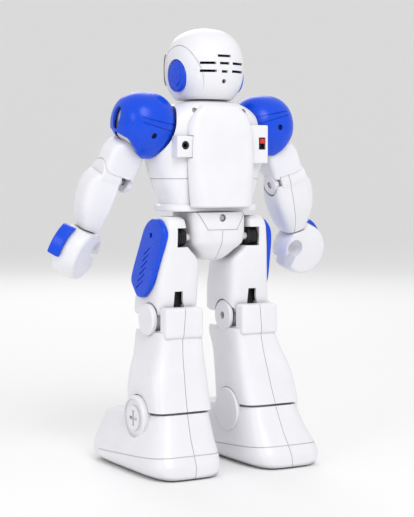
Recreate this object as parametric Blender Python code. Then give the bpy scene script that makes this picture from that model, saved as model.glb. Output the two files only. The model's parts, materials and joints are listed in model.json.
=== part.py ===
"""Walking humanoid robot toy: separate moulded shells, joints and running gear, in metres, +Z up.

The robot faces -Y and its left side is +X. Dimensions below are in millimetres.
"""
import math

import bmesh
import bpy
from mathutils import Matrix, Vector

MM = 0.001
WALL = 1.8                 # moulded wall thickness
SEAM = 0.3                 # gap between neighbouring parts
FORE_AFT_SHIFT = 1.1       # puts the feet's middle at Y = 0
SIDE_SHIFT = -0.5          # puts the middle between the unequal hands at X = 0
BEVEL_STEPS = 1

# joint axes, left side
SHOULDER = (41.0, -2.5, 203.0)
ELBOW = (56.5, -2.5, 170.0)
WRIST_DROP = 33.0          # wrist below the elbow, along the forearm
HIP = (26.0, 10.0, 136.6)
KNEE = (26.5, 1.5, 88.4)
ANKLE = (31.0, 7.4, 32.0)
WHEEL_R = 6.0
WHEEL = (34.0, 22.0, WHEEL_R)
NECK = (0.0, -2.4, 217.0)
SPIGOT_R = 5.2             # neck spigot the head turns on
ARM_SPLAY = 17.0           # forearm leans outwards, degrees
SHOULDER_REST = {1: -17.0, -1: 3.0}
ELBOW_REST = {1: -2.0, -1: -17.0}
WRIST_REST = {1: 38.0, -1: 0.0}

# shoulder pad envelope about the shoulder axis
PAD_HALF_LENGTH = 18.0
PAD_RADIUS = 18.8
PAD_WALL = 1.8
PAD_CLEARANCE = 1.5
PAD_TIP_STRETCH = 0.18      # the pad's skirt is drawn downwards into a point
PAD_TIP_START = 4.0
HUB_RADIUS = 12.6

KNEE_LUG_R = 9.4
ANKLE_RING_R = 13.2
HIP_CORE_R = 5.3
HIP_AXLE_R = 2.1
AXLE_CLEARANCE = 0.08
PIN_CLEARANCE = 0.11       # between the corners of the pin and the flats of its bore
KNEE_PIN_R = 2.2
ANKLE_PIN_R = 2.0
ELBOW_PIN_R = 2.0
LEG_SEAM_X = 33.0          # where the leg shells' seam meets the ground
LEG_SEAM_LEAN = 4.5        # seam leans inwards going up, degrees

COLOURS = {
    "white_shell": ((0.86, 0.86, 0.88), 0.38, 0.0),
    "blue_trim": ((0.012, 0.07, 0.78), 0.28, 0.0),
    "black_part": ((0.012, 0.012, 0.014), 0.42, 0.0),
    "visor_black": ((0.01, 0.01, 0.012), 0.08, 0.0),
    "eye_lens": ((0.35, 0.72, 0.95), 0.12, 0.0),
    "red_switch": ((0.72, 0.03, 0.02), 0.35, 0.0),
    "steel": ((0.55, 0.55, 0.57), 0.3, 1.0),
    "circuit_green": ((0.03, 0.22, 0.09), 0.45, 0.0),
    "battery_wrap": ((0.05, 0.16, 0.42), 0.35, 0.0),
    "wheel_rubber": ((0.02, 0.02, 0.02), 0.75, 0.0),
}

for old in list(bpy.data.objects):
    bpy.data.objects.remove(old, do_unlink=True)

PARTS = bpy.data.collections.new("walking_robot")
CUTTERS = bpy.data.collections.new("cutters")
bpy.context.scene.collection.children.link(PARTS)
bpy.context.scene.collection.children.link(CUTTERS)

MATERIALS = {}
for slot_name, (rgb, roughness, metallic) in COLOURS.items():
    slot = bpy.data.materials.new(slot_name)
    slot.use_nodes = True
    shader = slot.node_tree.nodes["Principled BSDF"]
    shader.inputs["Base Color"].default_value = (*rgb, 1.0)
    shader.inputs["Roughness"].default_value = roughness
    shader.inputs["Metallic"].default_value = metallic
    slot.diffuse_color = (*rgb, 1.0)
    MATERIALS[slot_name] = slot


# ---------------------------------------------------------------- frames
class Frame:
    """A joint's pivot. Shapes are drawn about 'origin', in millimetres, before the rest turn."""

    def __init__(self, name, origin, parent=None, turn=(0.0, 0.0, 0.0), upright=True):
        self.origin = Vector(origin)
        self.upright = upright
        self.empty = bpy.data.objects.new(name, None)
        self.empty.empty_display_size = 0.01
        PARTS.objects.link(self.empty)
        if parent is not None:
            self.empty.parent = parent.empty
            base = parent.origin if parent.upright else Vector((0, 0, 0))
            self.empty.location = (self.origin - base) * MM
        else:
            self.empty.location = self.origin * MM
        self.empty.rotation_euler = tuple(math.radians(a) for a in turn)

    def local(self, point):
        return Vector(point) - self.origin if self.upright else Vector(point)


def publish(name, bm, frame, side=1, material=None):
    """Turn a drawn shape into a named object (or, with no material, a cutter) on its frame."""
    if side < 0:
        for v in bm.verts:
            v.co.x = -v.co.x
        bmesh.ops.reverse_faces(bm, faces=bm.faces)
    mesh = bpy.data.meshes.new(name)
    for v in bm.verts:
        v.co = frame.local(v.co) * MM
    bmesh.ops.recalc_face_normals(bm, faces=bm.faces)
    bm.to_mesh(mesh)
    bm.free()
    obj = bpy.data.objects.new(name, mesh)
    obj.parent = frame.empty
    if material is None:
        CUTTERS.objects.link(obj)
        obj.hide_render = True
        obj.display_type = "WIRE"
    else:
        PARTS.objects.link(obj)
        mesh.materials.append(MATERIALS[material])
    return obj


def combine(obj, other, operation):
    modifier = obj.modifiers.new(operation.lower(), "BOOLEAN")
    modifier.operation = operation
    modifier.solver = "EXACT"
    modifier.object = other
    return obj


# ---------------------------------------------------------------- shapes
def superellipse(cx, cy, hx, hy, power, count):
    points = []
    for i in range(count):
        t = 2.0 * math.pi * (i + 0.5) / count
        c, s = math.cos(t), math.sin(t)
        x = cx + hx * math.copysign(abs(c) ** (2.0 / power), c)
        y = cy + hy * math.copysign(abs(s) ** (2.0 / power), s)
        points.append((x, y))
    return points


def join_rings(bm, rings):
    for low, high in zip(rings, rings[1:]):
        n = len(low)
        for i in range(n):
            j = (i + 1) % n
            bm.faces.new((low[i], low[j], high[j], high[i]))
    bm.faces.new(list(reversed(rings[0])))
    bm.faces.new(rings[-1])


def loft(rows, count=16, inset=0.0, flat_facets=False):
    """Upright solid through sections (z, x0, x1, y0, y1, power[, rise per mm of y])."""
    bm = bmesh.new()
    rings = []
    for row in rows:
        z, x0, x1, y0, y1, power = row[:6]
        rise = row[6] if len(row) > 6 else 0.0
        hx, hy = (x1 - x0) / 2 - inset, (y1 - y0) / 2 - inset
        cx, cy = (x0 + x1) / 2, (y0 + y1) / 2
        ring = [bm.verts.new((x, y, z + rise * (y - y1)))
                for x, y in superellipse(cx, cy, hx, hy, power, count)]
        rings.append(ring)
    join_rings(bm, rings)
    if flat_facets:
        bmesh.ops.triangulate(bm, faces=bm.faces[:])
    return bm


def turned(axis, profile, centre, count=20):
    """Solid of revolution about X, Y or Z through 'centre': profile of (along, radius)."""
    bm = bmesh.new()
    rings = []
    for along, radius in profile:
        ring = []
        for i in range(count):
            t = 2.0 * math.pi * (i + 0.5) / count
            a, b = radius * math.cos(t), radius * math.sin(t)
            offset = {"X": (along, a, b), "Y": (b, along, a), "Z": (a, b, along)}[axis]
            ring.append(bm.verts.new(Vector(centre) + Vector(offset)))
        rings.append(ring)
    join_rings(bm, rings)
    return bm


def turned_shell(axis, loop, centre, count=20):
    """Hollow solid of revolution whose profile is a closed loop of (along, radius)."""
    bm = turned(axis, loop, centre, count)
    caps = [f for f in bm.faces if len(f.verts) == count]
    first, last = caps[-2], caps[-1]
    low, high = list(reversed(first.verts)), list(last.verts)
    bmesh.ops.delete(bm, geom=[first, last], context="FACES_ONLY")
    for i in range(count):
        j = (i + 1) % count
        bm.faces.new((high[i], high[j], low[j], low[i]))
    return bm


def barrel(axis, start, end, radius, centre, count=20, chamfer=0.0):
    if chamfer:
        profile = [(start, radius - chamfer), (start + chamfer, radius),
                   (end - chamfer, radius), (end, radius - chamfer)]
    else:
        profile = [(start, radius), (end, radius)]
    return turned(axis, profile, centre, count)


def block(low, high, bevel=0.0, turn=None, about=None):
    """Box between two corners, optionally with bevelled edges and turned about a point."""
    bm = bmesh.new()
    bmesh.ops.create_cube(bm, size=1.0)
    size = Vector(high) - Vector(low)
    middle = (Vector(high) + Vector(low)) / 2
    for v in bm.verts:
        v.co = Vector((v.co.x * size.x, v.co.y * size.y, v.co.z * size.z)) + middle
    if bevel:
        bmesh.ops.bevel(bm, geom=bm.edges[:], offset=bevel, segments=BEVEL_STEPS, profile=0.6, affect="EDGES")
    if turn is not None:
        axis, degrees = turn
        pivot = Vector(about if about is not None else middle)
        rotation = Matrix.Rotation(math.radians(degrees), 4, axis)
        for v in bm.verts:
            v.co = pivot + rotation @ (v.co - pivot)
    return bm


def prism(outline, axis, start, end, bevel=0.0):
    """Flat outline extruded along X or Y. Outline points are (y, z) or (x, z)."""
    bm = bmesh.new()
    faces = []
    for along in (start, end):
        ring = []
        for p, q in outline:
            ring.append(bm.verts.new((along, p, q) if axis == "X" else (p, along, q)))
        faces.append(ring)
    join_rings(bm, faces)
    if bevel:
        bmesh.ops.recalc_face_normals(bm, faces=bm.faces)
        rim = [e for e in bm.edges if all(abs((v.co.x if axis == "X" else v.co.y) - end) < 1e-6
                                          for v in e.verts)]
        bmesh.ops.bevel(bm, geom=rim, offset=bevel, segments=BEVEL_STEPS, profile=0.6, affect="EDGES")
    return bm


def rounded(outline, radius, steps=3):
    """Round the corners of a flat outline."""
    result = []
    n = len(outline)
    for i in range(n):
        p = Vector(outline[i])
        a = (Vector(outline[i - 1]) - p)
        b = (Vector(outline[(i + 1) % n]) - p)
        reach = min(radius, a.length * 0.45, b.length * 0.45)
        start, stop = p + a.normalized() * reach, p + b.normalized() * reach
        for k in range(steps + 1):
            t = k / steps
            result.append(tuple(start * (1 - t) ** 2 + p * 2 * t * (1 - t) + stop * t * t))
    return result


def cutter(bm, frame, side=1, name="cut"):
    return publish(name, bm, frame, side)


def finish_shading(obj, angle=35.0):
    for polygon in obj.data.polygons:
        polygon.use_smooth = True
    obj.data.set_sharp_from_angle(angle=math.radians(angle))


# ---------------------------------------------------------------- torso
ROOT = Frame("robot", (0.0, 0.0, 0.0))
ROOT.empty.location = (SIDE_SHIFT * MM, FORE_AFT_SHIFT * MM, 0.0)
TORSO = Frame("torso_frame", (0.0, 0.0, 151.0), ROOT)

TORSO_ROWS = [
    (151.8, -30.6, 30.6, -17.2, 17.2, 3.2),
    (152.6, -31.2, 31.2, -17.8, 17.6, 3.2),
    (155.2, -31.2, 31.2, -17.8, 17.6, 3.2),
    (156.4, -28.8, 28.8, -16.5, 16.8, 3.0),
    (166.0, -32.0, 32.0, -20.0, 17.5, 3.0),
    (176.0, -35.0, 35.0, -22.5, 18.0, 3.0),
    (186.0, -37.0, 37.0, -24.0, 18.5, 3.0),
    (196.0, -37.5, 37.5, -24.0, 18.5, 3.0),
    (205.0, -34.5, 34.5, -22.5, 18.3, 3.0),
    (211.5, -27.5, 27.5, -19.0, 17.5, 2.8),
    (215.5, -19.0, 19.0, -15.0, 15.5, 2.6),
    (217.0, -12.5, 12.5, -12.0, 12.0, 2.4),
]
TORSO_SPLIT_Y = -8.0
WING_REAR_Y = 20.4
JACK = (25.2, WING_REAR_Y, 190.3)
SWITCH = (-27.0, WING_REAR_Y, 191.8)
SWITCH_HALF_W = 2.3
SWITCH_HALF_H = 3.6
BUTTON = (0.0, -24.0, 197.0)
BUTTON_R = 5.0


def pad_profile(grow, length_grow=0.0, steps=9, first=-1.0, last=1.0):
    """Radius of the shoulder pad's envelope against distance along its axis."""
    profile = []
    half = PAD_HALF_LENGTH + length_grow
    for i in range(steps):
        u = first + (last - first) * i / (steps - 1)
        u = max(-0.995, min(0.995, u))
        profile.append((u * half, (PAD_RADIUS + grow) * (1 - abs(u) ** 2.5) ** 0.4))
    return profile


def torso_blank():
    """Outside form of the torso, with the two rear shoulder wings."""
    body = cutter(loft(TORSO_ROWS, 20), TORSO)
    left_wing = cutter(block((16.0, 8.0, 183.3), (30.6, WING_REAR_Y, 195.7), 0.8), TORSO)
    right_wing = cutter(block((-31.2, 8.0, 180.0), (-16.0, WING_REAR_Y, 202.7), 0.8), TORSO)
    combine(body, left_wing, "UNION")
    combine(body, right_wing, "UNION")
    for side in (1, -1):
        hollow = turned("X", pad_profile(PAD_CLEARANCE, PAD_CLEARANCE), SHOULDER, 24)
        combine(body, cutter(hollow, TORSO, side), "DIFFERENCE")
    return body


def torso_half(name, keep_front):
    blank = torso_blank()
    shell = blank
    CUTTERS.objects.unlink(shell)
    PARTS.objects.link(shell)
    shell.name = name
    shell.hide_render = False
    shell.display_type = "TEXTURED"
    shell.data.materials.append(MATERIALS["white_shell"])
    inner_rows = [
        (150.0, -28.5, 28.5, -15.5, 15.4, 3.2), (157.0, -26.8, 26.8, -14.8, 15.0, 3.0),
        (176.0, -33.0, 33.0, -20.6, 16.1, 3.0), (183.0, -30.0, 30.0, -21.4, 16.3, 3.0),
        (190.0, -21.0, 21.0, -21.6, 16.6, 3.0), (208.0, -20.5, 20.5, -19.5, 16.0, 3.0),
        (214.0, -14.0, 14.0, -12.5, 12.5, 2.6)]
    combine(shell, cutter(loft(inner_rows, 16), TORSO), "DIFFERENCE")
    if keep_front:
        far = block((-60, TORSO_SPLIT_Y - SEAM / 2, 140), (60, 60, 230))
    else:
        far = block((-60, -60, 140), (60, TORSO_SPLIT_Y + SEAM / 2, 230))
    combine(shell, cutter(far, TORSO), "DIFFERENCE")
    for side in (1, -1):
        bearing = barrel("X", -24.0, -4.0, 5.4, SHOULDER, 16)
        combine(shell, cutter(bearing, TORSO, side), "DIFFERENCE")
    return shell


front = torso_half("torso_front_shell", True)
combine(front, cutter(barrel("Y", -6.0, 8.0, BUTTON_R + SEAM, BUTTON), TORSO), "DIFFERENCE")
for k in range(3):
    slot_z = 172.0 + 4.0 * k
    slot = block((-8.0, -30.0, slot_z), (8.0, -14.0, slot_z + 1.6))
    combine(front, cutter(slot, TORSO), "DIFFERENCE")

rear = torso_half("torso_rear_shell", False)
bay = block((-13.0, 10.0, 158.5), (13.0, 24.0, 201.5))
combine(rear, cutter(bay, TORSO), "DIFFERENCE")
combine(rear, cutter(barrel("Y", -6.4, 4.0, 2.5, JACK, 12), TORSO), "DIFFERENCE")
pocket = block((SWITCH[0] - SWITCH_HALF_W, WING_REAR_Y - 5.0, SWITCH[2] - SWITCH_HALF_H),
               (SWITCH[0] + SWITCH_HALF_W, WING_REAR_Y + 4.0, SWITCH[2] + SWITCH_HALF_H))
combine(rear, cutter(pocket, TORSO), "DIFFERENCE")
spigot = barrel("Z", -4.0, 8.0, SPIGOT_R, NECK, 20)
combine(rear, cutter(spigot, TORSO), "UNION")
combine(rear, cutter(barrel("Z", -14.0, 14.0, SPIGOT_R - WALL, NECK, 16), TORSO), "DIFFERENCE")

# back cover: a tapered box with sloping sides that leans forwards towards the neck
COVER_ROWS = [              # z, half width at the torso, half width at the rear, front y, rear y
    (154.2, 21.4, 15.2, 15.5, 26.0),
    (155.0, 22.2, 16.0, 15.5, 26.8),
    (176.0, 23.4, 18.6, 15.5, 24.6),
    (190.0, 23.6, 19.6, 15.5, 22.9),
    (200.0, 23.0, 19.4, 15.2, 21.8),
    (208.0, 19.6, 17.0, 14.6, 20.4),
    (213.5, 14.0, 12.0, 13.6, 18.6),
]


def cover_form():
    bm = bmesh.new()
    rings = []
    for z, base, back, y0, y1 in COVER_ROWS:
        outline = rounded([(-base, y0), (base, y0), (back, y1), (-back, y1)], 2.2, 2)
        rings.append([bm.verts.new((x, y, z)) for x, y in outline])
    join_rings(bm, rings)
    return bm


cover = publish("back_cover", cover_form(), TORSO, 1, "white_shell")
cover_hollow = loft([(158.0, -13.6, 13.6, 10.0, 24.8, 8.0), (176.0, -16.6, 16.6, 10.0, 22.8, 8.0),
                     (196.0, -17.0, 17.0, 10.0, 20.4, 8.0)], 12)
combine(cover, cutter(cover_hollow, TORSO), "DIFFERENCE")
body_clear = cutter(loft([(row[0], row[1] - SEAM, row[2] + SEAM, row[3], row[4] + SEAM, row[5])
                          for row in TORSO_ROWS], 20), TORSO)
combine(cover, body_clear, "DIFFERENCE")
wing_clear = cutter(block((-33.3, 8.0, 179.7), (-15.7, WING_REAR_Y + SEAM, 203.0)), TORSO)
combine(cover, wing_clear, "DIFFERENCE")
wing_clear = cutter(block((15.7, 8.0, 183.0), (33.3, WING_REAR_Y + SEAM, 196.0)), TORSO)
combine(cover, wing_clear, "DIFFERENCE")

jack = publish("charging_jack", barrel("Y", -5.4, -0.4, 2.2, JACK, 12), TORSO, 1, "black_part")
combine(jack, cutter(barrel("Y", -4.0, 3.0, 1.2, JACK, 12), TORSO), "DIFFERENCE")
switch_base = publish("power_switch_base", block(
    (SWITCH[0] - SWITCH_HALF_W + SEAM, WING_REAR_Y - 4.7, SWITCH[2] - SWITCH_HALF_H + SEAM),
    (SWITCH[0] + SWITCH_HALF_W - SEAM, WING_REAR_Y - 0.5, SWITCH[2] + SWITCH_HALF_H - SEAM)),
    TORSO, 1, "black_part")
groove = block((SWITCH[0] - 1.6, WING_REAR_Y - 2.6, SWITCH[2] - 3.0),
               (SWITCH[0] + 1.6, WING_REAR_Y + 3.0, SWITCH[2] + 3.0))
combine(switch_base, cutter(groove, TORSO), "DIFFERENCE")
SWITCH_FRAME = Frame("power_switch_frame", (SWITCH[0], WING_REAR_Y, SWITCH[2] + 1.4), TORSO)
publish("power_switch_slider", block((SWITCH[0] - 1.45, WING_REAR_Y - 2.4, SWITCH[2] + 0.0),
                                     (SWITCH[0] + 1.45, WING_REAR_Y + 0.6, SWITCH[2] + 2.85)),
        SWITCH_FRAME, 1, "red_switch")
BUTTON_FRAME = Frame("chest_button_frame", BUTTON, TORSO)
publish("chest_button", barrel("Y", -1.4, 3.4, BUTTON_R, BUTTON, 20, 0.5), BUTTON_FRAME, 1,
        "blue_trim")
publish("main_board", block((-18.0, -6.6, 166.0), (18.0, -5.0, 200.0)), TORSO, 1, "circuit_green")
publish("battery_pack", block((-12.2, 6.0, 160.0), (12.2, 19.6, 194.0), 1.2), TORSO, 1,
        "battery_wrap")
publish("speaker", turned("Y", [(-15.8, 9.5), (-14.0, 10.5), (-13.0, 10.5), (-9.5, 6.0),
                                (-8.6, 6.0)], (0.0, 0.0, 177.0), 16), TORSO, 1, "black_part")

# ---------------------------------------------------------------- pelvis
PELVIS_ROWS = [
    (122.8, -6.0, 6.0, -6.0, 9.0, 3.0),
    (123.6, -7.5, 7.5, -8.0, 11.0, 3.4),
    (128.5, -12.8, 12.8, -11.5, 15.6, 4.0),
    (134.0, -17.6, 17.6, -13.5, 19.0, 5.0),
    (141.0, -18.2, 18.2, -14.5, 20.0, 5.0),
    (151.2, -18.0, 18.0, -14.5, 20.0, 5.0),
]
PELVIS_SPLIT_Y = 2.0
PELVIS_SCREW = (0.0, 20.0, 147.9)


def pelvis_half(name, keep_front):
    shell = publish(name, loft(PELVIS_ROWS, 20), TORSO, 1, "white_shell")
    hollow = loft([(126.5, -8.6, 8.6, -8.0, 11.4, 4.0), (134.5, -15.6, 15.6, -11.6, 16.8, 5.0),
                   (149.2, -16.0, 16.0, -12.6, 17.8, 5.0)], 12)
    combine(shell, cutter(hollow, TORSO), "DIFFERENCE")
    if keep_front:
        far = block((-60, PELVIS_SPLIT_Y - SEAM / 2, 110), (60, 60, 160))
    else:
        far = block((-60, -60, 110), (60, PELVIS_SPLIT_Y + SEAM / 2, 160))
    combine(shell, cutter(far, TORSO), "DIFFERENCE")
    axle_hole = barrel("X", -40.0, 40.0, HIP_AXLE_R + SEAM, (0.0, HIP[1], HIP[2]), 16)
    combine(shell, cutter(axle_hole, TORSO), "DIFFERENCE")
    return shell


pelvis_half("pelvis_front_shell", True)
pelvis_rear = pelvis_half("pelvis_rear_shell", False)
combine(pelvis_rear, cutter(barrel("Y", -4.0, 3.0, 2.2, PELVIS_SCREW, 16), TORSO), "DIFFERENCE")
publish("pelvis_screw", turned("Y", [(-6.0, 0.9), (-2.0, 0.9), (-1.9, 1.8), (-1.0, 1.8),
                                     (-0.7, 1.5)], PELVIS_SCREW, 14), TORSO, 1, "steel")
gearbox = publish("drive_gearbox", block((-9.0, -8.5, 133.4), (9.0, 15.5, 146.4), 0.8), TORSO, 1,
                  "black_part")
combine(gearbox, cutter(barrel("X", -30.0, 30.0, HIP_AXLE_R + AXLE_CLEARANCE, (0.0, HIP[1], HIP[2]), 16),
                        TORSO), "DIFFERENCE")
publish("hip_axle", barrel("X", -27.0, 27.0, HIP_AXLE_R, (0.0, HIP[1], HIP[2]), 16, 0.4), TORSO, 1,
        "white_shell")

# ---------------------------------------------------------------- head
HEAD = Frame("head_frame", NECK, TORSO)
HEAD_CENTRE = (0.0, -2.4, 236.4)
HEAD_HALF = (21.6, 24.7, 23.6)
HEAD_POWER = 2.4
HEAD_BOTTOM = 217.6
HEAD_SPLIT_Y = -10.5
VISOR_PROUD = 0.9


def head_form(grow, bottom, steps=10, count=20):
    bm = bmesh.new()
    rings = []
    low_angle = math.asin((bottom - HEAD_CENTRE[2]) / (HEAD_HALF[2] + grow))
    for i in range(steps):
        angle = low_angle + (math.radians(86.0) - low_angle) * i / (steps - 1)
        rise = math.sin(angle)
        width = (1 - abs(rise) ** HEAD_POWER) ** (1 / HEAD_POWER)
        z = HEAD_CENTRE[2] + (HEAD_HALF[2] + grow) * rise
        ring = [bm.verts.new((x, y, z)) for x, y in superellipse(
            HEAD_CENTRE[0], HEAD_CENTRE[1], (HEAD_HALF[0] + grow) * width,
            (HEAD_HALF[1] + grow) * width, 2.4, count)]
        rings.append(ring)
    join_rings(bm, rings)
    return bm


def head_half(name, keep_front):
    shell = publish(name, head_form(0.0, HEAD_BOTTOM), HEAD, 1, "white_shell")
    combine(shell, cutter(head_form(-WALL, HEAD_BOTTOM + WALL, 8, 16), HEAD), "DIFFERENCE")
    if keep_front:
        far = block((-60, HEAD_SPLIT_Y - SEAM / 2, 200), (60, 60, 280))
    else:
        far = block((-60, -60, 200), (60, HEAD_SPLIT_Y + SEAM / 2, 280))
    combine(shell, cutter(far, HEAD), "DIFFERENCE")
    combine(shell, cutter(barrel("Z", -5.0, 6.0, SPIGOT_R + 0.2, NECK, 20), HEAD), "DIFFERENCE")
    return shell


VISOR_BOX = ((-17.0, -40.0, 226.5), (17.0, -17.0, 246.5))
face = head_half("head_front_shell", True)
face_opening = block((VISOR_BOX[0][0] - SEAM, VISOR_BOX[0][1], VISOR_BOX[0][2] - SEAM),
                     (VISOR_BOX[1][0] + SEAM, VISOR_BOX[1][1], VISOR_BOX[1][2] + SEAM), 3.0)
combine(face, cutter(face_opening, HEAD), "DIFFERENCE")
skull = head_half("head_rear_shell", False)
SLOT_COLUMNS = [(0.0, 242.5, 4.4), (0.0, 238.2, 3.2), (0.0, 233.4, 2.0),
                (9.9, 238.2, 4.4), (9.7, 233.6, 4.6), (-9.9, 238.2, 4.4), (-9.7, 233.6, 4.6)]
for slot_x, slot_z, half_width in SLOT_COLUMNS:
    vent = block((slot_x - half_width, 5.0, slot_z - 0.75), (slot_x + half_width, 30.0, slot_z + 0.75))
    combine(skull, cutter(vent, HEAD), "DIFFERENCE")
combine(skull, cutter(barrel("Y", 10.0, 30.0, 1.3, (0.0, 0.0, 227.8), 12), HEAD), "DIFFERENCE")
visor = publish("face_visor", head_form(VISOR_PROUD, HEAD_BOTTOM, 10, 24), HEAD, 1, "visor_black")
combine(visor, cutter(head_form(VISOR_PROUD - 2.2, HEAD_BOTTOM + 2.2, 8, 18), HEAD), "DIFFERENCE")
combine(visor, cutter(block(VISOR_BOX[0], VISOR_BOX[1], 3.0), HEAD), "INTERSECT")
EYE_X, EYE_Z, EYE_R = 7.4, 237.2, 4.0
for side in (1, -1):
    eye_at = (EYE_X * side, 0.0, EYE_Z)
    combine(visor, cutter(barrel("Y", -34.0, -14.0, EYE_R + SEAM, eye_at, 20), HEAD), "DIFFERENCE")
    eye_name = "eye_left" if side > 0 else "eye_right"
    publish(eye_name, turned("Y", [(-27.4, 2.2), (-27.0, 3.4), (-26.2, EYE_R), (-20.5, EYE_R)],
                             eye_at, 16), HEAD, 1, "eye_lens")
EAR = (19.4, 0.8, 231.4)
EAR_TURN = 3.0
for side in (1, -1):
    hollow = cutter(turned("X", pad_profile(PAD_CLEARANCE, PAD_CLEARANCE), SHOULDER, 20), TORSO, side)
    combine(cover, hollow, "DIFFERENCE")
for side in (1, -1):
    ear_name = "ear_cap_left" if side > 0 else "ear_cap_right"
    cap = turned("X", [(-0.6, 9.5), (1.0, 9.5), (1.6, 8.8), (1.6, 6.2), (2.1, 5.6), (2.2, 1.0)],
                 (0, 0, 0), 20)
    seat = turned("X", [(-0.9, 9.8), (8.0, 9.8)], (0, 0, 0), 20)
    for shape in (cap, seat):
        swing = Matrix.Rotation(math.radians(EAR_TURN), 4, "Z")
        for v in shape.verts:
            v.co = swing @ v.co + Vector(EAR)
    publish(ear_name, cap, HEAD, side, "blue_trim")
    for half_shell in (skull, face):
        seat_copy = seat.copy()
        combine(half_shell, cutter(seat_copy, HEAD, side), "DIFFERENCE")
    seat.free()

# ---------------------------------------------------------------- arms
UPPER_ARM_ROWS = [
    (-4.0, -11.0, 11.0, -8.6, 8.6, 6.0),
    (14.0, -11.2, 11.0, -8.6, 8.6, 6.0),
    (19.5, -11.2, 9.6, -8.6, 8.6, 5.0),
    (23.0, -11.0, 6.0, -8.2, 8.2, 4.0),
    (25.5, -10.0, 0.5, -7.4, 7.4, 3.0),
]
FOREARM_ROWS = [
    (-WRIST_DROP, -5.5, 9.0, -7.5, 7.5, 3.0),
    (-27.0, -8.5, 12.2, -9.2, 9.2, 3.4),
    (-19.0, -10.8, 15.2, -10.2, 10.2, 4.0),
    (-9.0, -12.4, 16.6, -9.8, 9.8, 4.5),
    (-3.5, -12.0, 15.8, -9.0, 9.0, 5.0),
    (1.4, -11.0, 12.6, -8.4, 8.6, 6.0),
]
HAND_AT = (5.5, -14.8)      # middle of the curled hand, outwards and down from the wrist
HAND_HALF = (16.4, 16.2)
GRIP_R = 5.4
GRIP_AT = (-2.5, -10.5)     # middle of the grip channel
MOUTH_HALF = 3.2
MOUTH_SLOPE = 50.0
SOCKET_R = 8.9
FOREARM_SPLIT_X = -1.5
RIM_SLOPE = 18.0           # upper arm's lower rim rises towards the front


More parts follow.
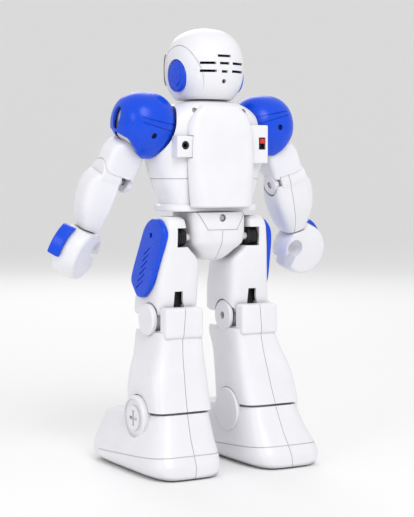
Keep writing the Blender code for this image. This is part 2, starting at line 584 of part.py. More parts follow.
def arm(side):
    label = "left" if side > 0 else "right"
    shoulder_at = (SHOULDER[0] * side, SHOULDER[1], SHOULDER[2])
    swing = Frame("shoulder_frame_" + label, shoulder_at, TORSO, (SHOULDER_REST[side], 0.0, 0.0))
    hub = turned("X", [(-20.0, 5.0), (-16.0, 5.0), (-15.9, 8.0), (-12.0, HUB_RADIUS - 0.6),
                       (-11.0, HUB_RADIUS), (11.0, HUB_RADIUS), (13.0, 9.4), (14.0, 7.2), (14.4, 5.0)],
                 SHOULDER, 20)
    publish("shoulder_hub_" + label, hub, swing, side, "white_shell")
    x, y, z = SHOULDER
    outside = pad_profile(0.0, 0.0, 9, -0.96, 0.995)
    inside = pad_profile(-PAD_WALL, -PAD_WALL, 8, -0.97, 0.985)
    inside[0] = (-16.6, 7.7)
    dome = turned_shell("X", outside + inside[::-1], SHOULDER, 22)
    for v in dome.verts:
        v.co.z -= PAD_TIP_STRETCH * max(0.0, z - PAD_TIP_START - v.co.z)
    pad = publish("shoulder_pad_" + label, dome, swing, side, "blue_trim")
    window = superellipse(y - 0.5, z + 4.1, 4.2, 6.1, 2.0, 13)
    combine(pad, cutter(prism(window, "X", x + 13.3, x + 31.0), swing, side), "DIFFERENCE")
    below = [(x - 1.5, z - 21.4), (x + 7.0, z - 15.4), (x + 14.0, z - 6.0), (x + 21.0, z - 3.4),
             (x + 21.0, z - 60.0), (x - 24.0, z - 60.0), (x - 24.0, z - 3.0), (x - 15.5, z - 7.0),
             (x - 7.5, z - 10.5)]
    combine(pad, cutter(prism(below, "Y", -40.0, 40.0), swing, side), "DIFFERENCE")
    throat = block((x - 30.0, y - 9.0, z - 60.0), (x + 11.0, y + 9.0, z + 1.0))
    combine(pad, cutter(throat, swing, side), "DIFFERENCE")
    for fore in (1, -1):
        hole = barrel("Y", 8.0 * fore, 30.0 * fore, 1.7, (x + 1.6, y, z - 2.2), 10)
        combine(pad, cutter(hole, swing, side), "DIFFERENCE")

    elbow_turn = (ELBOW_REST[side], -ARM_SPLAY * side, 0.0)
    elbow_at = (ELBOW[0] * side, ELBOW[1], ELBOW[2])
    lean = Frame("upper_arm_frame_" + label, elbow_at, swing, (0.0, -ARM_SPLAY * side, 0.0), False)
    upper = publish("upper_arm_" + label, loft(UPPER_ARM_ROWS, 16), lean, side, "white_shell")
    upper_hollow = loft([(2.0, -9.2, 9.2, -6.5, 6.5, 6.0), (20.0, -9.2, 7.4, -6.5, 6.5, 5.0)], 12)
    combine(upper, cutter(upper_hollow, lean, side), "DIFFERENCE")
    trim = barrel("X", -7.8, 30.0, SOCKET_R + SEAM, (0, 0, 0), 24)
    combine(upper, cutter(trim, lean, side), "DIFFERENCE")
    trim = block((-30.0, -30.0, -30.0), (30.0, 30.0, 2.4), 0.0, ("X", -RIM_SLOPE), (0.0, 8.6, 2.4))
    combine(upper, cutter(trim, lean, side), "DIFFERENCE")
    web = block((-11.1, -4.0, 0.0), (-8.1, 4.0, 10.0))
    combine(upper, cutter(web, lean, side), "UNION")
    lug = barrel("X", -11.4, -8.1, 6.6, (0, 0, 0), 16, 0.6)
    combine(upper, cutter(lug, lean, side), "UNION")
    trim = barrel("X", -14.0, 14.0, ELBOW_PIN_R + PIN_CLEARANCE, (0, 0, 0), 12)
    combine(upper, cutter(trim, lean, side), "DIFFERENCE")
    publish("elbow_pin_" + label, turned("X", [(-10.6, ELBOW_PIN_R), (8.0, ELBOW_PIN_R)],
                                         (0, 0, 0), 12), lean, side, "steel")
    # the hub drum passes through the top of the upper arm
    drum = turned("X", [(-16.8, 9.0), (-12.2, HUB_RADIUS - 0.4), (-11.0, HUB_RADIUS + SEAM),
                        (11.0, HUB_RADIUS + SEAM), (14.2, 9.3), (15.6, 7.5)], SHOULDER, 20)
    combine(upper, cutter(drum, swing, side), "DIFFERENCE")

    bend = Frame("elbow_frame_" + label, elbow_at, swing, elbow_turn, False)
    for half, keep_outer in (("outer", True), ("inner", False)):
        shell = publish("forearm_%s_%s" % (half, label), loft(FOREARM_ROWS, 16), bend, side,
                        "white_shell")
        head = barrel("X", -7.5, 11.4, SOCKET_R, (0, 0, 0), 24, 0.6)
        combine(shell, cutter(head, bend, side), "UNION")
        for lug_room in (barrel("X", -20.0, -7.5, 7.1, (0, 0, 0), 18),
                         block((-20.0, -9.6, 0.3), (-7.5, 9.6, 20.0))):
            combine(shell, cutter(lug_room, bend, side), "DIFFERENCE")
        hollow = loft([(-30.6, -4.4, 6.8, -5.6, 5.6, 3.0),
                       (-19.0, -8.8, 10.4, -8.2, 8.2, 4.0), (-9.0, -9.0, 11.0, -8.0, 8.2, 4.0),
                       (2.0, -5.2, 9.4, -5.6, 5.6, 4.0)], 12)
        combine(shell, cutter(hollow, bend, side), "DIFFERENCE")
        socket = barrel("Z", -WRIST_DROP - 4.0, -WRIST_DROP + 5.0, 4.1, (0, 0, 0), 14)
        combine(shell, cutter(socket, bend, side), "DIFFERENCE")
        if keep_outer:
            far = block((-40, -40, -60), (FOREARM_SPLIT_X + SEAM / 2, 40, 40))
        else:
            far = block((FOREARM_SPLIT_X - SEAM / 2, -40, -60), (40, 40, 40))
        combine(shell, cutter(far, bend, side), "DIFFERENCE")
        pin_hole = barrel("X", -14.0, 9.0, ELBOW_PIN_R + PIN_CLEARANCE, (0, 0, 0), 12)
        combine(shell, cutter(pin_hole, bend, side), "DIFFERENCE")

    wrist = Frame("wrist_frame_" + label, (0.0, 0.0, -WRIST_DROP), bend,
                  (0.0, 0.0, WRIST_REST[side]), False)
    hand = publish("hand_" + label, hand_form(), wrist, side, "white_shell")
    grip_at = (GRIP_AT[0], 0.0, GRIP_AT[1])
    grip = barrel("Y", -30.0, 30.0, GRIP_R, grip_at, 16)
    combine(hand, cutter(grip, wrist, side), "DIFFERENCE")
    mouth = block((GRIP_AT[0] - 25.0, -31.0, GRIP_AT[1] - MOUTH_HALF),
                  (GRIP_AT[0], 31.0, GRIP_AT[1] + MOUTH_HALF), 0.0, ("Y", -MOUTH_SLOPE), grip_at)
    combine(hand, cutter(mouth, wrist, side), "DIFFERENCE")
    combine(hand, cutter(barrel("Z", -1.0, 12.0, 20.0, (0, 0, 0), 12), wrist, side), "DIFFERENCE")
    stem = barrel("Z", -6.0, 3.0, 3.6, (0, 0, 0), 16)
    combine(hand, cutter(stem, wrist, side), "UNION")
    band = turned_shell("Y", [(-9.4, 18.4), (-8.4, 19.2), (-2.6, 19.2), (-1.6, 18.4), (-1.6, 16.9),
                              (-9.4, 16.9)], (HAND_AT[0], 0.0, HAND_AT[1]), 32)
    guard = publish("wrist_guard_" + label, band, wrist, side, "blue_trim")
    sector = prism([(HAND_AT[0], HAND_AT[1]), (60.0, HAND_AT[1] - 12.0), (60.0, -0.7),
                    (HAND_AT[0], -0.7)], "Y", -20.0, 20.0)
    combine(guard, cutter(sector, wrist, side), "INTERSECT")


def hand_form():
    """Curled hand as a thick C seen from the front, rounded on every edge."""
    bm = bmesh.new()
    rows = [(-8.0, 0.80), (-6.2, 0.95), (0.0, 1.0), (6.2, 0.95), (8.0, 0.80)]
    rings = []
    for y, scale in rows:
        ring = []
        for i in range(24):
            t = 2.0 * math.pi * (i + 0.5) / 24
            ring.append(bm.verts.new((HAND_AT[0] + HAND_HALF[0] * scale * math.cos(t), y,
                                      HAND_AT[1] + HAND_HALF[1] * scale * math.sin(t))))
        rings.append(ring)
    join_rings(bm, rings)
    return bm


arm(1)
arm(-1)

# ---------------------------------------------------------------- legs
THIGH_ROWS = [
    (90.2, 12.5, 38.4, -20.0, 9.6, 6.0),
    (91.6, 11.0, 39.4, -21.8, 11.2, 6.0),
    (105.0, 10.5, 38.4, -21.0, 12.3, 6.0),
    (119.0, 10.6, 37.0, -18.0, 14.0, 6.0),
    (123.0, 11.6, 36.6, -17.0, 14.5, 6.0),
    (134.0, 20.4, 35.4, -14.5, 15.8, 5.0),
    (141.0, 20.4, 34.7, -12.5, 16.0, 5.0),
    (146.5, 20.6, 34.0, -8.5, 14.6, 4.0),
    (148.8, 22.6, 32.6, -3.0, 11.5, 3.0),
]
THIGH_PAD = [(-9.5, 142.5), (-3.0, 147.6), (9.0, 147.4), (15.4, 141.0), (14.4, 133.0),
             (6.0, 108.0), (-2.0, 101.0), (-10.0, 100.6), (-20.6, 110.0), (-19.0, 117.0)]
PAD_LEAN = 0.115            # the thigh pad leans inwards going up
THIGH_PAD_FOOT = 106.0
SHIN_ROWS = [
    (36.9, 11.0, 50.0, -12.0, 31.0, 6.0),
    (46.0, 10.8, 49.6, -12.4, 27.8, 6.0),
    (57.0, 10.8, 47.6, -13.5, 24.6, 6.0),
    (67.0, 11.0, 43.8, -15.2, 21.6, 6.0),
    (79.0, 11.0, 39.8, -20.0, 19.4, 6.0),
    (81.4, 11.6, 39.4, -19.6, 19.0, 6.0),
]
FOOT_ROWS = [
    (1.2, 14.0, 53.5, -43.5, 45.0, 5.0),
    (3.2, 11.5, 56.4, -46.6, 45.8, 5.0),
    (7.0, 10.0, 58.0, -48.0, 45.6, 5.0),
    (12.5, 10.0, 57.4, -47.6, 43.0, 5.0),
    (22.0, 10.5, 53.6, -45.4, 37.2, 5.0),
    (30.0, 10.9, 51.0, -42.0, 33.6, 5.0),
    (35.6, 11.3, 49.5, -36.5, 31.2, 5.0, 0.05),
]


def leg_seam(keep_outer):
    """Everything on one side of the leaning seam plane."""
    if keep_outer:
        low, high = (LEG_SEAM_X - 90.0, -90.0, -60.0), (LEG_SEAM_X + SEAM / 2, 90.0, 150.0)
    else:
        low, high = (LEG_SEAM_X - SEAM / 2, -90.0, -60.0), (LEG_SEAM_X + 90.0, 90.0, 150.0)
    return block(low, high, 0.0, ("Y", -LEG_SEAM_LEAN), (LEG_SEAM_X, 0.0, 0.0))


def leg(side):
    label = "left" if side > 0 else "right"
    hip = Frame("hip_frame_" + label, (HIP[0] * side, HIP[1], HIP[2]), ROOT)
    knee = Frame("knee_frame_" + label, (KNEE[0] * side, KNEE[1], KNEE[2]), hip)
    ankle = Frame("ankle_frame_" + label, (ANKLE[0] * side, ANKLE[1], ANKLE[2]), knee)
    spin = Frame("wheel_frame_" + label, (WHEEL[0] * side, WHEEL[1], WHEEL[2]), ankle)
    cut = "DIFFERENCE"

    core = publish("hip_core_" + label, barrel("X", -4.5, 1.6, HIP_CORE_R, HIP, 20, 0.4), hip, side,
                   "black_part")
    bore = barrel("X", -30.0, 1.2, HIP_AXLE_R + AXLE_CLEARANCE, HIP, 16)
    combine(core, cutter(bore, hip, side), cut)
    thigh = publish("thigh_shell_" + label, loft(THIGH_ROWS, 16), hip, side, "white_shell")
    x, y, z = KNEE
    tongue = barrel("X", -11.4, 11.0, 7.2, KNEE, 16, 0.5)
    combine(thigh, cutter(tongue, hip, side), "UNION")
    hollow = loft([(97.0, 15.0, 36.6, -19.2, 9.8, 6.0), (119.0, 12.6, 35.0, -16.2, 12.0, 6.0),
                   (124.0, 14.0, 34.6, -15.0, 12.4, 6.0), (134.0, 22.4, 33.4, -12.4, 13.8, 5.0),
                   (144.0, 22.6, 32.2, -8.0, 12.4, 5.0)], 12)
    combine(thigh, cutter(hollow, hip, side), cut)
    notch = block((0.0, HIP[1] - HIP_CORE_R - 0.4, HIP[2] - HIP_CORE_R - SEAM),
                  (HIP[0] + 2.0, 60.0, HIP[2] + HIP_CORE_R + SEAM))
    combine(thigh, cutter(notch, hip, side), cut)
    for start, end in ((-30.0, -12.2), (11.6, 40.0)):
        relief = barrel("X", start, end, KNEE_LUG_R + 0.6, KNEE, 20)
        combine(thigh, cutter(relief, hip, side), cut)
    pin_bore = barrel("X", -30.0, 30.0, KNEE_PIN_R + PIN_CLEARANCE, KNEE, 12)
    combine(thigh, cutter(pin_bore, hip, side), cut)
    # the moulded slot above the calf is the same way round on both legs
    slot_at = 25.3 * side
    slot = [(slot_at + 2.7, 105.0), (slot_at + 3.4, 93.5), (slot_at - 4.5, 93.5),
            (slot_at - 2.9, 99.5), (slot_at - 2.7, 105.0)]
    combine(thigh, cutter(prism(slot, "Y", 6.0, 30.0), hip), cut)

    pad = prism(rounded(THIGH_PAD, 5.0), "X", 30.0, 41.2, 1.4)
    for v in pad.verts:
        if v.co.x > 36.0:
            v.co.x += PAD_LEAN * (THIGH_PAD_FOOT - v.co.z)
    pad_obj = publish("thigh_pad_" + label, pad, hip, side, "blue_trim")
    clear = loft([(r[0], r[1] - SEAM, r[2] + SEAM, r[3] - SEAM, r[4] + SEAM, r[5])
                  for r in THIGH_ROWS], 16)
    combine(pad_obj, cutter(clear, hip, side), cut)
    pad_hole = barrel("X", 2.0, 30.0, 1.6, (34.0, 0.5, 137.8), 10)
    combine(pad_obj, cutter(pad_hole, hip, side), cut)

    for half, keep_outer in (("outer", True), ("inner", False)):
        shell = publish("shin_%s_%s" % (half, label), loft(SHIN_ROWS, 16), knee, side,
                        "white_shell")
        calf_block = block((13.2, 6.0, 78.0), (38.2, 20.9, 96.0), 2.4)
        combine(shell, cutter(calf_block, knee, side), "UNION")
        lug = barrel("X", 11.9, 15.5, KNEE_LUG_R, KNEE, 20, 0.8)
        if keep_outer:
            combine(shell, cutter(lug, knee, side), "UNION")
        else:
            lug.free()
            lug = barrel("X", -15.9, -12.5, KNEE_LUG_R, KNEE, 20, 0.8)
            combine(shell, cutter(lug, knee, side), "UNION")
        well = block((12.6, -30.0, 82.0), (38.8, 13.4, 99.0))
        combine(shell, cutter(well, knee, side), cut)
        well = loft([(78.0, 14.0, 38.1, -17.6, 13.4, 8.0), (83.0, 14.0, 38.1, -30.0, 13.4, 8.0)], 12)
        combine(shell, cutter(well, knee, side), cut)
        hollow = loft([(33.0, 14.6, 45.6, -10.0, 28.6, 6.0), (46.0, 14.2, 45.6, -10.5, 25.8, 6.0),
                       (57.0, 13.0, 44.0, -11.6, 22.6, 6.0), (67.0, 13.0, 40.6, -13.2, 19.6, 6.0),
                       (79.5, 14.6, 37.8, -16.8, 12.8, 8.0)], 12)
        combine(shell, cutter(hollow, knee, side), cut)
        combine(shell, cutter(leg_seam(keep_outer), knee, side), cut)
        for start, end in ((-60.0, -17.9), (16.2, 60.0)):
            room = barrel("X", start, end, ANKLE_RING_R + 0.4, ANKLE, 18)
            combine(shell, cutter(room, knee, side), cut)
        pin_hole = barrel("X", -40.0, 40.0, ANKLE_PIN_R + PIN_CLEARANCE, ANKLE, 12)
        combine(shell, cutter(pin_hole, knee, side), cut)
        pin_hole = barrel("X", -30.0, 13.6, KNEE_PIN_R + PIN_CLEARANCE, KNEE, 12)
        combine(shell, cutter(pin_hole, knee, side), cut)
    publish("knee_pin_" + label, barrel("X", -14.0, 13.2, KNEE_PIN_R, KNEE, 12, 0.3), knee, side,
            "steel")

    for half, keep_outer in (("outer", True), ("inner", False)):
        shell = publish("foot_%s_%s" % (half, label), loft(FOOT_ROWS, 20, 0.0, True), ankle, side,
                        "white_shell")
        if keep_outer:
            ring = barrel("X", 16.6, 22.2, ANKLE_RING_R, ANKLE, 18, 0.8)
        else:
            ring = barrel("X", -21.4, -18.3, ANKLE_RING_R, ANKLE, 18, 0.8)
        combine(shell, cutter(ring, ankle, side), "UNION")
        hollow = loft([(-3.0, 16.0, 51.5, -41.5, 43.0, 5.0), (3.4, 16.0, 51.5, -41.5, 43.0, 5.0),
                       (7.0, 13.4, 55.4, -45.0, 42.8, 5.0), (22.0, 13.6, 50.6, -42.4, 34.4, 5.0),
                       (32.6, 14.4, 47.2, -36.0, 29.0, 5.0, 0.05)], 14)
        combine(shell, cutter(hollow, ankle, side), cut)
        combine(shell, cutter(leg_seam(keep_outer), ankle, side), cut)
        pin_hole = barrel("X", -20.0, 18.6, ANKLE_PIN_R + PIN_CLEARANCE, ANKLE, 12)
        combine(shell, cutter(pin_hole, ankle, side), cut)
    publish("ankle_pin_" + label, barrel("X", -19.6, 18.2, ANKLE_PIN_R, ANKLE, 12, 0.3), ankle,
            side, "steel")
    plate = publish("sole_plate_" + label, loft([(1.0, 17.0, 50.6, -40.4, 42.0, 5.0),
                                                 (2.8, 17.0, 50.6, -40.4, 42.0, 5.0)], 20),
                    ankle, side, "black_part")
    skid = block((24.0, -36.0, 0.0), (44.0, -28.0, 2.0))
    combine(plate, cutter(skid, ankle, side), "UNION")
    cheek = block((26.0, 14.0, 2.0), (42.0, 30.0, 10.0))
    combine(plate, cutter(cheek, ankle, side), "UNION")
    bay_cut = block((29.4, 15.4, -2.0), (38.6, 28.6, 14.0))
    combine(plate, cutter(bay_cut, ankle, side), cut)
    stub_hole = barrel("X", -6.4, 6.4, 1.7, WHEEL, 16)
    combine(plate, cutter(stub_hole, ankle, side), cut)
    wheel = turned("X", [(-6.2, 1.6), (-4.3, 1.6), (-4.2, WHEEL_R - 0.6), (-3.6, WHEEL_R),
                         (3.6, WHEEL_R), (4.2, WHEEL_R - 0.6), (4.3, 1.6), (6.2, 1.6)], WHEEL, 16)
    publish("drive_wheel_" + label, wheel, spin, side, "wheel_rubber")


leg(1)
leg(-1)

for part in PARTS.objects:
    if part.type == "MESH":
        finish_shading(part)
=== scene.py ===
"""Looks of the walking humanoid robot toy: smooth moulded pieces, finishes, light and camera.

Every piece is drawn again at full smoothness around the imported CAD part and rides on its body.
The robot faces -Y and its left side is +X. Dimensions below are in millimetres.
"""
import json
import math

import bmesh
import bpy
from mathutils import Euler, Matrix, Vector

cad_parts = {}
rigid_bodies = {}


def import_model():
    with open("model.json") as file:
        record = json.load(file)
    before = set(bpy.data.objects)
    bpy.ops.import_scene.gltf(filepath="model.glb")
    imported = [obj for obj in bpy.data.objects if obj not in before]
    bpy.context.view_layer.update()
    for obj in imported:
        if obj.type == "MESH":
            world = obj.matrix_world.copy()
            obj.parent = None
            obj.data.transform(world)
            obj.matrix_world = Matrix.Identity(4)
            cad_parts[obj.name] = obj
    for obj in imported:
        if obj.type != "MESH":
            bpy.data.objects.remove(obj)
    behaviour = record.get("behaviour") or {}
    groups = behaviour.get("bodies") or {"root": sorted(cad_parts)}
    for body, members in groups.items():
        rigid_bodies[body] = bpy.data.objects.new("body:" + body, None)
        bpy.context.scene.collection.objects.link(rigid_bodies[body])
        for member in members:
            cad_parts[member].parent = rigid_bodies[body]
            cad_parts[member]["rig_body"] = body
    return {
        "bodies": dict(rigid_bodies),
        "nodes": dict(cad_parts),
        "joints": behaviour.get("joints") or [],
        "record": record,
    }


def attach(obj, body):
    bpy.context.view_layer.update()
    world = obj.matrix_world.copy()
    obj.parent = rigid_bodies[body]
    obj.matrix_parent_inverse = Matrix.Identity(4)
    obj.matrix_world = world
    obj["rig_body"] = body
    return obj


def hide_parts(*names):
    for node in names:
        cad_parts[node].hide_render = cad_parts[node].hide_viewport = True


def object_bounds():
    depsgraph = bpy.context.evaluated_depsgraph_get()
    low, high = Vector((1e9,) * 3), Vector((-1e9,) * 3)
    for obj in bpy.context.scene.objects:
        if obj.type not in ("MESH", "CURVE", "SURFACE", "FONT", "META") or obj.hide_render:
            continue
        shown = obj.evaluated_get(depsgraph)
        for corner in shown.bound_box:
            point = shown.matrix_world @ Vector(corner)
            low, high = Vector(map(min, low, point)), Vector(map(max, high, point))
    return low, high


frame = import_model()
CAD_LOW, CAD_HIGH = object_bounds()
CAD_BODY = {node: obj["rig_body"] for node, obj in frame["nodes"].items()}

RING_DETAIL = 3            # how many times finer round forms are than in the CAD part
ROW_DETAIL = 4
EDGE_ROUND = 0.28          # radius on moulded edges
SHARP_ANGLE = 38.0         # edges sharper than this are rounded, degrees
LINE_DEPTH = 0.45          # depth of moulded panel lines
MM = 0.001
WALL = 1.8                 # moulded wall thickness
SEAM = 0.3                 # gap between neighbouring parts
FORE_AFT_SHIFT = 1.1       # puts the feet's middle at Y = 0
SIDE_SHIFT = -0.5          # puts the middle between the unequal hands at X = 0
BEVEL_STEPS = 4

# joint axes, left side
SHOULDER = (41.0, -2.5, 203.0)
ELBOW = (56.5, -2.5, 170.0)
WRIST_DROP = 33.0          # wrist below the elbow, along the forearm
HIP = (26.0, 10.0, 136.6)
KNEE = (26.5, 1.5, 88.4)
ANKLE = (31.0, 7.4, 32.0)
WHEEL_R = 6.0
WHEEL = (34.0, 22.0, WHEEL_R)
NECK = (0.0, -2.4, 217.0)
SPIGOT_R = 5.2             # neck spigot the head turns on
ARM_SPLAY = 17.0           # forearm leans outwards, degrees
SHOULDER_REST = {1: -17.0, -1: 3.0}
ELBOW_REST = {1: -2.0, -1: -17.0}
WRIST_REST = {1: 38.0, -1: 0.0}

# shoulder pad envelope about the shoulder axis
PAD_HALF_LENGTH = 18.0
PAD_RADIUS = 18.8
PAD_WALL = 1.8
PAD_CLEARANCE = 1.5
PAD_TIP_STRETCH = 0.18      # the pad's skirt is drawn downwards into a point
PAD_TIP_START = 4.0
HUB_RADIUS = 12.6

KNEE_LUG_R = 9.4
ANKLE_RING_R = 13.2
HIP_CORE_R = 5.3
HIP_AXLE_R = 2.1
AXLE_CLEARANCE = 0.08
PIN_CLEARANCE = 0.11       # between the corners of the pin and the flats of its bore
KNEE_PIN_R = 2.2
ANKLE_PIN_R = 2.0
ELBOW_PIN_R = 2.0
LEG_SEAM_X = 33.0          # where the leg shells' seam meets the ground
LEG_SEAM_LEAN = 4.5        # seam leans inwards going up, degrees

CUTTERS = bpy.data.collections.new("cutters")
bpy.context.scene.collection.children.link(CUTTERS)
PIECES = {}
MATERIALS = {}


# ---------------------------------------------------------------- frames
class Frame:
    """A joint's pivot at rest. Shapes are drawn about 'origin', in millimetres."""

    def __init__(self, name, origin, parent=None, turn=(0.0, 0.0, 0.0), upright=True):
        self.name = name
        self.origin = Vector(origin)
        self.upright = upright
        place = self.origin.copy()
        above = Matrix.Identity(4)
        if parent is not None:
            above = parent.matrix
            if parent.upright:
                place -= parent.origin
        spin = Euler([math.radians(a) for a in turn]).to_matrix().to_4x4()
        self.matrix = above @ Matrix.Translation(place) @ spin

    def local(self, point):
        return Vector(point) - self.origin if self.upright else Vector(point)


def publish(name, bm, frame, side=1, material=None):
    """Turn a drawn shape into a piece standing for its CAD node or, with no material, a cutter."""
    if side < 0:
        for v in bm.verts:
            v.co.x = -v.co.x
        bmesh.ops.reverse_faces(bm, faces=bm.faces)
    for v in bm.verts:
        v.co = frame.matrix @ frame.local(v.co) * MM
    bmesh.ops.recalc_face_normals(bm, faces=bm.faces)
    mesh = bpy.data.meshes.new("look_" + name)
    bm.to_mesh(mesh)
    bm.free()
    obj = bpy.data.objects.new("look_" + name, mesh)
    if material is None:
        CUTTERS.objects.link(obj)
        obj.hide_render = True
    else:
        bpy.context.scene.collection.objects.link(obj)
        PIECES[name] = (obj, material)
    return obj


def combine(obj, other, operation):
    modifier = obj.modifiers.new(operation.lower(), "BOOLEAN")
    modifier.operation = operation
    modifier.solver = "EXACT"
    modifier.object = other
    return obj


# ---------------------------------------------------------------- shapes
def superellipse(cx, cy, hx, hy, power, count):
    points = []
    for i in range(count):
        t = 2.0 * math.pi * (i + 0.5) / count
        c, s = math.cos(t), math.sin(t)
        x = cx + hx * math.copysign(abs(c) ** (2.0 / power), c)
        y = cy + hy * math.copysign(abs(s) ** (2.0 / power), s)
        points.append((x, y))
    return points


def join_rings(bm, rings):
    for low, high in zip(rings, rings[1:]):
        n = len(low)
        for i in range(n):
            j = (i + 1) % n
            bm.faces.new((low[i], low[j], high[j], high[i]))
    bm.faces.new(list(reversed(rings[0])))
    bm.faces.new(rings[-1])


def smooth_rows(rows, detail):
    """Rows between the given ones on monotone cubic curves, so that flats stay flat."""
    rows = [list(row) + [0.0] * (7 - len(row)) for row in rows]
    if rows[0][0] > rows[-1][0]:
        rows.reverse()
    n = len(rows)
    gaps = [rows[i + 1][0] - rows[i][0] for i in range(n - 1)]
    slopes = []
    for c in range(7):
        rise = [(rows[i + 1][c] - rows[i][c]) / gaps[i] for i in range(n - 1)]
        slope = [rise[0]]
        for i in range(1, n - 1):
            same_way = rise[i - 1] * rise[i] > 0
            slope.append(2 * rise[i - 1] * rise[i] / (rise[i - 1] + rise[i]) if same_way else 0.0)
        slope.append(rise[-1])
        slopes.append(slope)
    result = []
    for i in range(n - 1):
        steps = detail if gaps[i] > 1.5 else 1
        for k in range(steps):
            t = k / steps
            row = []
            for c in range(7):
                p, q = rows[i][c], rows[i + 1][c]
                m0, m1 = slopes[c][i] * gaps[i], slopes[c][i + 1] * gaps[i]
                row.append((2 * t ** 3 - 3 * t ** 2 + 1) * p + (t ** 3 - 2 * t ** 2 + t) * m0
                           + (3 * t ** 2 - 2 * t ** 3) * q + (t ** 3 - t ** 2) * m1)
            result.append(row)
    result.append(rows[-1])
    return result


def loft(rows, count=16, inset=0.0):
    """Upright solid through sections (z, x0, x1, y0, y1, power[, rise per mm of y])."""
    bm = bmesh.new()
    rings = []
    count *= RING_DETAIL
    for row in smooth_rows(rows, ROW_DETAIL):
        z, x0, x1, y0, y1, power = row[:6]
        rise = row[6] if len(row) > 6 else 0.0
        hx, hy = (x1 - x0) / 2 - inset, (y1 - y0) / 2 - inset
        cx, cy = (x0 + x1) / 2, (y0 + y1) / 2
        ring = [bm.verts.new((x, y, z + rise * (y - y1)))
                for x, y in superellipse(cx, cy, hx, hy, power, count)]
        rings.append(ring)
    join_rings(bm, rings)
    return bm


def turned(axis, profile, centre, count=20):
    """Solid of revolution about X, Y or Z through 'centre': profile of (along, radius)."""
    bm = bmesh.new()
    rings = []
    count *= RING_DETAIL
    for along, radius in profile:
        ring = []
        for i in range(count):
            t = 2.0 * math.pi * (i + 0.5) / count
            a, b = radius * math.cos(t), radius * math.sin(t)
            offset = {"X": (along, a, b), "Y": (b, along, a), "Z": (a, b, along)}[axis]
            ring.append(bm.verts.new(Vector(centre) + Vector(offset)))
        rings.append(ring)
    join_rings(bm, rings)
    return bm


def turned_shell(axis, loop, centre, count=20):
    """Hollow solid of revolution whose profile is a closed loop of (along, radius)."""
    bm = turned(axis, loop, centre, count)
    count *= RING_DETAIL
    caps = [f for f in bm.faces if len(f.verts) == count]
    first, last = caps[-2], caps[-1]
    low, high = list(reversed(first.verts)), list(last.verts)
    bmesh.ops.delete(bm, geom=[first, last], context="FACES_ONLY")
    for i in range(count):
        j = (i + 1) % count
        bm.faces.new((high[i], high[j], low[j], low[i]))
    return bm


def barrel(axis, start, end, radius, centre, count=20, chamfer=0.0):
    if chamfer:
        profile = [(start, radius - chamfer), (start + chamfer, radius),
                   (end - chamfer, radius), (end, radius - chamfer)]
    else:
        profile = [(start, radius), (end, radius)]
    return turned(axis, profile, centre, count)


def block(low, high, bevel=0.0, turn=None, about=None):
    """Box between two corners, optionally with bevelled edges and turned about a point."""
    bm = bmesh.new()
    bmesh.ops.create_cube(bm, size=1.0)
    size = Vector(high) - Vector(low)
    middle = (Vector(high) + Vector(low)) / 2
    for v in bm.verts:
        v.co = Vector((v.co.x * size.x, v.co.y * size.y, v.co.z * size.z)) + middle
    if bevel:
        bmesh.ops.bevel(bm, geom=bm.edges[:], offset=bevel, segments=BEVEL_STEPS, profile=0.6,
                        affect="EDGES")
    if turn is not None:
        axis, degrees = turn
        pivot = Vector(about if about is not None else middle)
        rotation = Matrix.Rotation(math.radians(degrees), 4, axis)
        for v in bm.verts:
            v.co = pivot + rotation @ (v.co - pivot)
    return bm


def prism(outline, axis, start, end, bevel=0.0):
    """Flat outline extruded along X or Y. Outline points are (y, z) or (x, z)."""
    bm = bmesh.new()
    faces = []
    for along in (start, end):
        ring = []
        for p, q in outline:
            ring.append(bm.verts.new((along, p, q) if axis == "X" else (p, along, q)))
        faces.append(ring)
    join_rings(bm, faces)
    if bevel:
        bmesh.ops.recalc_face_normals(bm, faces=bm.faces)
        rim = [e for e in bm.edges if all(abs((v.co.x if axis == "X" else v.co.y) - end) < 1e-6
                                          for v in e.verts)]
        bmesh.ops.bevel(bm, geom=rim, offset=bevel, segments=BEVEL_STEPS, profile=0.6, affect="EDGES")
    return bm


def rounded(outline, radius, steps=3):
    """Round the corners of a flat outline."""
    result = []
    n = len(outline)
    for i in range(n):
        p = Vector(outline[i])
        a = (Vector(outline[i - 1]) - p)
        b = (Vector(outline[(i + 1) % n]) - p)
        reach = min(radius, a.length * 0.45, b.length * 0.45)
        start, stop = p + a.normalized() * reach, p + b.normalized() * reach
        for k in range(steps + 1):
            t = k / steps
            result.append(tuple(start * (1 - t) ** 2 + p * 2 * t * (1 - t) + stop * t * t))
    return result


def cutter(bm, frame, side=1):
    return publish("cut", bm, frame, side)


# ---------------------------------------------------------------- torso
ROOT = Frame("robot", (0.0, 0.0, 0.0))
ROOT.matrix = Matrix.Translation((SIDE_SHIFT, FORE_AFT_SHIFT, 0.0))
TORSO = Frame("torso_frame", (0.0, 0.0, 151.0), ROOT)

TORSO_ROWS = [
    (151.8, -30.6, 30.6, -17.2, 17.2, 3.2),
    (152.6, -31.2, 31.2, -17.8, 17.6, 3.2),
    (155.2, -31.2, 31.2, -17.8, 17.6, 3.2),
    (156.4, -28.8, 28.8, -16.5, 16.8, 3.0),
    (166.0, -32.0, 32.0, -20.0, 17.5, 3.0),
    (176.0, -35.0, 35.0, -22.5, 18.0, 3.0),
    (186.0, -37.0, 37.0, -24.0, 18.5, 3.0),
    (196.0, -37.5, 37.5, -24.0, 18.5, 3.0),
    (205.0, -34.5, 34.5, -22.5, 18.3, 3.0),
    (211.5, -27.5, 27.5, -19.0, 17.5, 2.8),
    (215.5, -19.0, 19.0, -15.0, 15.5, 2.6),
    (217.0, -12.5, 12.5, -12.0, 12.0, 2.4),
]
TORSO_SPLIT_Y = -8.0
WING_REAR_Y = 20.4
JACK = (25.2, WING_REAR_Y, 190.3)
SWITCH = (-27.0, WING_REAR_Y, 191.8)
SWITCH_HALF_W = 2.3
